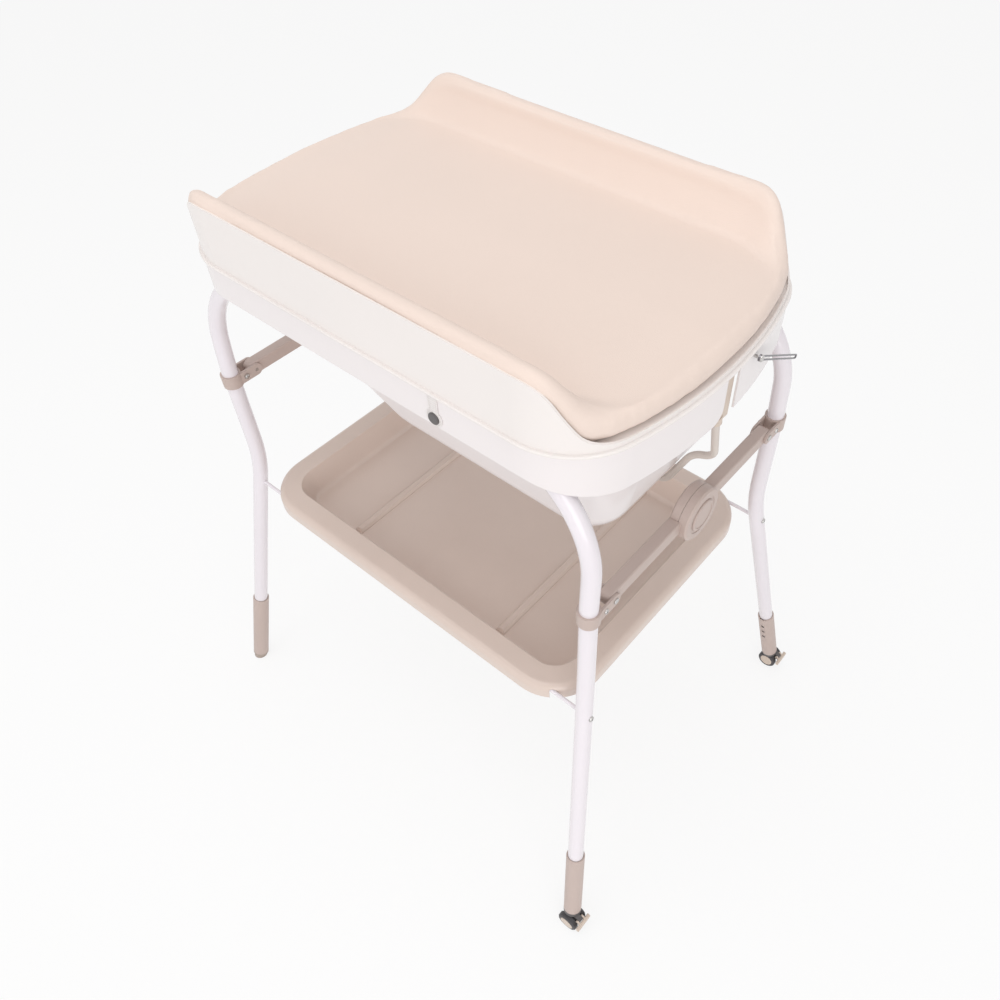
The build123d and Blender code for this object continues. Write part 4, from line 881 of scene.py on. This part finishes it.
@dataclass
class LegFrames(SubAssembly):
    """The two bent-tube frames, with their brackets, tray rods, sleeves and feet."""

    nodes = ("*_frame_tube", "*_bracket", "*_stay_pins", "*_tray_rod", "*_snap_buttons", "*_sleeve", "*_foot")
    bracket_height: float = 725 * MM
    clamp_screw_spacing: float = 204 * MM
    rod_height: float = 503 * MM
    rod_spacing: float = 232.2 * MM
    line_of_sight: float = 480 * MM
    shadow_profile_radius: float = 0.45 * MM
    shadow_segments: int = 48
    shadow_profile_segments: int = 10
    mouth_band: float = 0.2 * MM
    shadow_merge: float = 0.02 * MM

    def build(self) -> list[Piece]:
        """Builds the clamp screws and nuts, the rods' end screws and the dark rings that paint the shadow at the
        sleeves' mouths.
        """
        pieces = []
        for corner in Corner:
            pieces += self.clamp_screw(corner)
            pieces.append(self.rod_screw(corner))
            pieces.append(self.sleeve_gap_shadow(corner))
        return pieces

    def clamp_screw(self, corner: Corner) -> list[Piece]:
        """Builds the screw that closes a bracket round its leg, and the nut at its inner end.

        Args:
            corner: The corner that it belongs to.

        Returns:
            The screw and the nut.
        """
        bracket = Skin(corner.label + "_bracket")
        height = self.bracket_height
        inwards = Vector((-corner.end, 0, 0))
        outside = Vector((corner.end * self.line_of_sight, corner.side * self.clamp_screw_spacing, height))
        inside = Vector((0, outside.y, height))
        place, normal = bracket.hit(outside, inwards)
        nut_place, nut_normal = bracket.hit(inside, -inwards)
        screw = PanScrew(radius=3.8 * MM, recess_half_length=2 * MM)
        return [
            screw.build(corner.label + "_clamp_screw", place, normal, corner.frame_body),
            HexNut().build(corner.label + "_clamp_nut", nut_place, nut_normal, corner.frame_body),
        ]

    def rod_screw(self, corner: Corner) -> Piece:
        """Builds the screw that goes through a leg into the end of its tray rod.

        Args:
            corner: The corner that it belongs to.

        Returns:
            The screw.
        """
        tube = "front_frame_tube" if corner.side < 0 else "rear_frame_tube"
        outside = Vector((corner.end * self.line_of_sight, corner.side * self.rod_spacing, self.rod_height))
        place, _ = Skin(tube).hit(outside, Vector((-corner.end, 0, 0)))
        outwards = Vector((corner.end, 0, 0))
        return PanScrew().build(corner.label + "_rod_screw", place, outwards, corner.frame_body)

    def sleeve_gap_shadow(self, corner: Corner) -> Piece:
        """Builds a dark ring that paints the shadow between a leg and the mouth of its sleeve.

        Args:
            corner: The corner that it belongs to.

        Returns:
            The painted shadow, a dark ring round the leg.
        """
        body = corner.label + "_leg_end"
        joint = next(row for row in frame["joints"] if row["child"] == body and row["type"] == "slide")
        axis = Vector(joint["axis"]).normalized()
        if axis.z < 0:
            axis.negate()
        points = [vertex.co for vertex in frame["nodes"][corner.label + "_sleeve"].data.vertices]
        top = max(point.dot(axis) for point in points)
        mouth = [point for point in points if top - point.dot(axis) < self.mouth_band]
        low = Vector([min(point[i] for point in mouth) for i in range(3)])
        high = Vector([max(point[i] for point in mouth) for i in range(3)])
        centre = (low + high) / 2
        bore = min((point - centre).length for point in mouth)
        # A thin dark ring sunk round the leg paints the shadow that falls at the sleeve's mouth.
        mesh = bmesh.new()
        ring = bmesh.ops.create_circle(
            mesh, segments=self.shadow_profile_segments, radius=self.shadow_profile_radius
        )["verts"]
        bmesh.ops.rotate(mesh, verts=ring, cent=(0, 0, 0), matrix=Matrix.Rotation(radians(90), 3, "X"))
        bmesh.ops.translate(mesh, verts=ring, vec=(bore - self.shadow_profile_radius / 2, 0, 0))
        bmesh.ops.spin(
            mesh, geom=mesh.verts[:] + mesh.edges[:], cent=(0, 0, 0), axis=(0, 0, 1), dvec=(0, 0, 0),
            angle=radians(360), steps=self.shadow_segments, use_merge=True,
        )
        bmesh.ops.remove_doubles(mesh, verts=mesh.verts, dist=self.shadow_merge)
        bmesh.ops.transform(mesh, verts=mesh.verts[:], matrix=standing(centre, axis))
        return make_piece(corner.label + "_sleeve_gap_shadow", mesh, SHADOW_LINE, body)


class FoldingStays(SubAssembly):
    """The stay at each end with its knuckle pin and lock button."""

    nodes = ("*_stay", "*_knuckle_pin", "*_lock_button")


class StorageTray(SubAssembly):
    """The tray between the legs."""

    nodes = ("storage_tray",)


class Bath(SubAssembly):
    """The bath with its drain, hose, hinge pins and retaining wire."""

    nodes = ("bath", "drain_*", "hose_clip", "top_hinge_pins", "snap_stud", "wire_screw", "retaining_wire")
    own_finishes = {"retaining_wire": POLISHED_WIRE}


class Casters(SubAssembly):
    """The twin-wheel casters with their pins and brake pedals."""

    nodes = ("*caster*", "*_pedal", "*_tyre", "*_hub")


@dataclass
class ChangingTop(SubAssembly):
    """The hinged top with its soft pad and closing strap."""

    nodes = ("changing_top", "closing_strap", "changing_pad", "strap_cap")
    voxel: float = 4 * MM
    start_inset: float = 1.5 * MM
    pressure: float = 4.0
    stretch_stiffness: float = 20.0
    bending_stiffness: float = 1.5
    frames: int = 20
    fill: float = 0.85
    most_move: float = 6 * MM
    most_sunk: float = -1.2 * MM
    most_proud: float = 1.2 * MM
    smoothing: int = 4
    last_smoothing: int = 3
    sag: float = 0.5 * MM
    sag_scale: float = 9.0
    end_swell: float = 3.0 * MM
    end_wall_height: float = 977 * MM
    end_wall_start: float = 329 * MM
    swell_rise: float = 2 * MM
    swell_run: float = 18 * MM
    strap_edge: float = 0.35 * MM
    flat_angle: float = radians(2)
    sharp_angle: float = radians(50)
    seam_inset: float = 1.6 * MM
    stitch_length: float = 2.2 * MM
    stitch_radius: float = 0.3 * MM
    stitch_pitch: float = 3.0 * MM
    strap_half_width: float = 7 * MM

    def build(self) -> list[Piece]:
        """Builds the pad's cover, the strap and its stitching."""
        return [self.pad(), self.strap(), self.stitching()]

    def pad(self) -> Piece:
        """Builds the padded cover: the pad's form, filled by a short simulation and smoothed.

        Returns:
            The pad.
        """
        skin = Skin("changing_pad")
        mesh = node_copy("changing_pad")
        bmesh.ops.recalc_face_normals(mesh, faces=mesh.faces)
        pad = make_piece("changing_pad_cover", mesh, FINISHES["pad_cover"], "top_unit")
        self.apply(pad, "REMESH", mode="VOXEL", voxel_size=self.voxel, use_smooth_shade=True)
        self.shrink(pad)
        self.inflate(pad)
        self.relax(pad, skin)
        self.apply(pad, "SUBSURF", levels=1, render_levels=1)
        pad.data.shade_smooth()
        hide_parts("changing_pad")
        return pad

    @staticmethod
    def apply(piece: Piece, kind: str, **settings: object) -> None:
        """Adds a modifier to a piece and applies it.

        Args:
            piece: The piece.
            kind: The modifier's type.
            settings: The modifier's options by name.
        """
        modifier = piece.modifiers.new(kind.lower(), kind)
        for name, value in settings.items():
            setattr(modifier, name, value)
        ChangingTop.keep_result(piece)

    @staticmethod
    def keep_result(piece: Piece) -> None:
        """Takes the mesh that a piece's modifiers give as its own mesh.

        Args:
            piece: The piece, which has no modifiers afterwards.
        """
        graph = bpy.context.evaluated_depsgraph_get()
        graph.update()
        made = bpy.data.meshes.new_from_object(piece.evaluated_get(graph))
        piece.modifiers.clear()
        old = piece.data
        piece.data = made
        if not made.materials:
            made.materials.append(old.materials[0])

    def shrink(self, pad: Piece) -> None:
        """Draws the pad's skin in, so that it swells back to its real size.

        Args:
            pad: The pad.
        """
        normals = [vertex.normal.copy() for vertex in pad.data.vertices]
        for vertex, normal in zip(pad.data.vertices, normals):
            vertex.co -= normal * self.start_inset

    def inflate(self, pad: Piece) -> None:
        """Fills the pad by a short cloth simulation with pressure inside, and caps how far a point may move.

        Args:
            pad: The pad.
        """
        before = [vertex.co.copy() for vertex in pad.data.vertices]
        cloth = pad.modifiers.new("filling", "CLOTH")
        cloth.settings.use_pressure = True
        cloth.settings.uniform_pressure_force = self.pressure
        cloth.settings.effector_weights.gravity = 0.0
        cloth.settings.tension_stiffness = self.stretch_stiffness
        cloth.settings.compression_stiffness = self.stretch_stiffness
        cloth.settings.bending_stiffness = self.bending_stiffness
        cloth.point_cache.frame_start = 1
        cloth.point_cache.frame_end = self.frames
        for step in range(1, self.frames + 1):
            bpy.context.scene.frame_set(step)
        self.keep_result(pad)
        bpy.context.scene.frame_set(1)
        for vertex, start in zip(pad.data.vertices, before):
            move = vertex.co - start
            if move.length > self.most_move:
                vertex.co = start + move.normalized() * self.most_move

    def relax(self, pad: Piece, skin: Skin) -> None:
        """Smooths the pad, gives it the slight unevenness of foam, and keeps it inside its own space.

        Args:
            pad: The pad.
            skin: The surface of the pad's CAD solid.
        """
        mesh = bmesh.new()
        mesh.from_mesh(pad.data)
        self.smooth(mesh, self.smoothing)
        for vertex in mesh.verts:
            swell = self.swell(vertex)
            outwards = noise.noise(vertex.co * self.sag_scale) * self.sag + swell
            most = self.most_proud + swell
            vertex.co = skin.hold(vertex.co + vertex.normal * outwards, self.most_sunk, most)
        self.smooth(mesh, self.last_smoothing)
        mesh.to_mesh(pad.data)
        mesh.free()

    def swell(self, vertex: bmesh.types.BMVert) -> float:
        """Gives how far the cover swells out over the low walls at the ends, above their top edge.

        Args:
            vertex: A point of the cover.

        Returns:
            The distance, which is zero on the flat top and beside the high walls.
        """
        above = (vertex.co.z - self.end_wall_height) / self.swell_rise
        beyond = (abs(vertex.co.x) - self.end_wall_start) / self.swell_run
        share = max(0.0, min(1.0, above)) * max(0.0, min(1.0, beyond))
        return self.end_swell * share * vertex.normal.xy.length

    @staticmethod
    def smooth(mesh: bmesh.types.BMesh, times: int) -> None:
        """Smooths a mesh all over.

        Args:
            mesh: The mesh.
            times: How many times each point moves towards the middle of its neighbours.
        """
        for _ in range(times):
            bmesh.ops.smooth_vert(
                mesh, verts=mesh.verts, factor=0.5, use_axis_x=True, use_axis_y=True, use_axis_z=True
            )

    def strap(self) -> Piece:
        """Builds the closing strap with eased edges.

        Returns:
            The strap.
        """
        mesh = node_copy("closing_strap")
        bmesh.ops.dissolve_limit(mesh, angle_limit=self.flat_angle, verts=mesh.verts, edges=mesh.edges)
        sharp = [
            edge for edge in mesh.edges if edge.is_manifold and edge.calc_face_angle(0) > self.sharp_angle
        ]
        bmesh.ops.bevel(
            mesh, geom=sharp, offset=self.strap_edge, offset_type="OFFSET", segments=3, profile=0.5,
            affect="EDGES", material=-1,
        )
        finish = FINISHES["strap_webbing"]
        strap = make_piece("closing_strap_webbing", mesh, finish, "top_unit")
        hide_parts("closing_strap")
        return strap

    def stitching(self) -> Piece:
        """Sews round the strap's edge: down one side, round the end and up the other side.

        Returns:
            The stitches, as one piece.
        """
        low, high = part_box("closing_strap")
        end_radius = (high[0] - low[0]) / 2
        middle = Vector(((low[0] + high[0]) / 2, low[1], low[2] + end_radius))
        reach = self.strap_half_width - self.seam_inset
        turn = end_radius - self.seam_inset
        start = asin(reach / turn)
        straight = int((high[2] - middle.z - turn * cos(start)) / self.stitch_pitch)
        round_end = int((2 * pi - 2 * start) * turn / self.stitch_pitch)
        mesh = bmesh.new()
        for side in (-1, 1):
            for step in range(straight):
                rise = turn * cos(start) + (step + 0.5) * self.stitch_pitch
                self.stitch(mesh, middle + Vector((side * reach, 0, rise)), 0.0)
        for step in range(round_end + 1):
            angle = start + (2 * pi - 2 * start) * step / round_end
            place = middle + Vector((turn * sin(angle), 0, turn * cos(angle)))
            self.stitch(mesh, place, angle + radians(90))
        return make_piece("closing_strap_stitches", mesh, THREAD, "top_unit")

    def stitch(self, mesh: bmesh.types.BMesh, place: Vector, turned: float) -> None:
        """Adds one stitch, half sunk in the strap.

        Args:
            mesh: The mesh that it is added to.
            place: Its middle.
            turned: How far it is turned from upright in the strap's face, in radians.
        """
        length = self.stitch_length / 2 / self.stitch_radius
        form = Matrix.Rotation(turned, 4, "Y") @ Matrix.Diagonal((1.0, 1.0, length, 1.0))
        bmesh.ops.create_icosphere(
            mesh, subdivisions=1, radius=self.stitch_radius, matrix=Matrix.Translation(place) @ form
        )


@dataclass(frozen=True)
class SoftLamp:
    """A large soft lamp: its name, its place and side in metres, and its power in watts."""

    name: str
    place: tuple[float, float, float]
    size: float
    power: float

    def hang(self) -> None:
        """Hangs the lamp, pointing at the middle of the object."""
        data = bpy.data.lights.new(self.name, "AREA")
        data.shape = "SQUARE"
        data.size = self.size
        data.energy = self.power
        lamp = bpy.data.objects.new(self.name, data)
        bpy.context.scene.collection.objects.link(lamp)
        middle = (CAD_BOX[0] + CAD_BOX[1]) / 2
        lamp.matrix_world = standing(Vector(self.place), Vector(self.place) - middle)


@dataclass
class Studio:
    """The floor, the light and the camera."""

    lamps: tuple[SoftLamp, ...] = (
        SoftLamp("key_light", (-0.2, -0.4, 3.6), 2.2, 28.0),
        SoftLamp("front_light", (-0.6, -3.2, 1.9), 2.4, 13.0),
        SoftLamp("side_light", (2.7, -2.1, 1.5), 2.2, 33.0),
    )
    floor_size: float = 14.0
    floor_drop: float = 0.5 * MM
    floor_tone: tuple[float, float, float, float] = (0.93, 0.93, 0.93, 1.0)
    floor_glow: float = 0.82
    camera_place: tuple[float, float, float] = (0.7003, -0.7090, 1.5988)
    focal_pixels: float = 870.5
    yaw: float = 40.18
    pitch: float = 48.16
    roll: float = -0.832
    centre_pixels: tuple[float, float] = (548.4, 502.1)
    sky_tone: tuple[float, float, float, float] = (1.0, 0.99, 0.985, 1.0)
    sky_strength: float = 0.62

    def build(self) -> None:
        """Sets up the floor, the light and the camera."""
        self.floor()
        self.world()
        for lamp in self.lamps:
            lamp.hang()
        self.camera()
        bpy.context.scene.view_settings.view_transform = "Standard"

    def floor(self) -> None:
        """Lays a white floor that keeps the object's shadow."""
        mesh = bmesh.new()
        bmesh.ops.create_grid(mesh, x_segments=4, y_segments=4, size=self.floor_size / 2)
        bmesh.ops.translate(mesh, verts=mesh.verts, vec=(0, 0, -self.floor_drop))
        data = bpy.data.meshes.new("studio_floor")
        mesh.to_mesh(data)
        mesh.free()
        floor = bpy.data.objects.new("studio_floor", data)
        bpy.context.scene.collection.objects.link(floor)
        material = bpy.data.materials.new("studio_paper")
        material.use_nodes = True
        graph = Graph(material.node_tree)
        paper = graph.add("BsdfDiffuse")
        paper.inputs["Color"].default_value = self.floor_tone
        glow = graph.add("Emission")
        seen = graph.add("LightPath")
        either = graph.sum("MAXIMUM", seen.outputs["Is Camera Ray"], seen.outputs["Is Glossy Ray"])
        share = graph.sum("MULTIPLY", either, self.floor_glow)
        mixed = graph.add("MixShader")
        graph.feed(mixed.inputs[0], share)
        graph.feed(mixed.inputs[1], paper.outputs[0])
        graph.feed(mixed.inputs[2], glow.outputs[0])
        graph.feed(graph.add("OutputMaterial").inputs["Surface"], mixed.outputs[0])
        data.materials.append(material)

    def world(self) -> None:
        """Sets an even pale sky that the camera, gloss and glass see as white."""
        world = bpy.data.worlds.new("studio_air")
        world.use_nodes = True
        graph = Graph(world.node_tree)
        seen = graph.add("LightPath")
        either = graph.sum("MAXIMUM", seen.outputs["Is Camera Ray"], seen.outputs["Is Glossy Ray"])
        either = graph.sum("MAXIMUM", either, seen.outputs["Is Transmission Ray"])
        sky = graph.add("Background")
        sky.inputs["Color"].default_value = self.sky_tone
        graph.feed(sky.inputs["Strength"], graph.spread(either, 0.0, 1.0, self.sky_strength, 1.0))
        graph.feed(graph.add("OutputWorld").inputs["Surface"], sky.outputs[0])
        bpy.context.scene.world = world

    def camera(self) -> None:
        """Sets the camera where the photograph was taken from."""
        data = bpy.data.cameras.new("photo_camera")
        data.sensor_width = SENSOR_MM
        data.lens = self.focal_pixels / PICTURE_PIXELS * SENSOR_MM
        data.shift_x = (PICTURE_PIXELS / 2 - self.centre_pixels[0]) / PICTURE_PIXELS
        data.shift_y = (self.centre_pixels[1] - PICTURE_PIXELS / 2) / PICTURE_PIXELS
        camera = bpy.data.objects.new("photo_camera", data)
        bpy.context.scene.collection.objects.link(camera)
        turned = Matrix.Rotation(radians(self.yaw), 4, "Z")
        tilted = Matrix.Rotation(radians(90 - self.pitch), 4, "X")
        rolled = Matrix.Rotation(radians(self.roll), 4, "Z")
        camera.matrix_world = Matrix.Translation(Vector(self.camera_place)) @ turned @ tilted @ rolled
        bpy.context.scene.camera = camera


def main() -> None:
    """Builds and dresses each part of the changing table, and sets up the studio."""
    logging.basicConfig(level=logging.INFO, format="%(name)s: %(message)s")
    for part in (LegFrames(), FoldingStays(), StorageTray(), Bath(), ChangingTop(), Casters()):
        for piece in part.build():
            log.info("%s: %s, %d faces", type(part).__name__, piece.name, len(piece.data.polygons))
        log.info("%s: %d nodes dressed", type(part).__name__, part.dress())
    Studio().build()


if __name__ == "__main__":
    main()
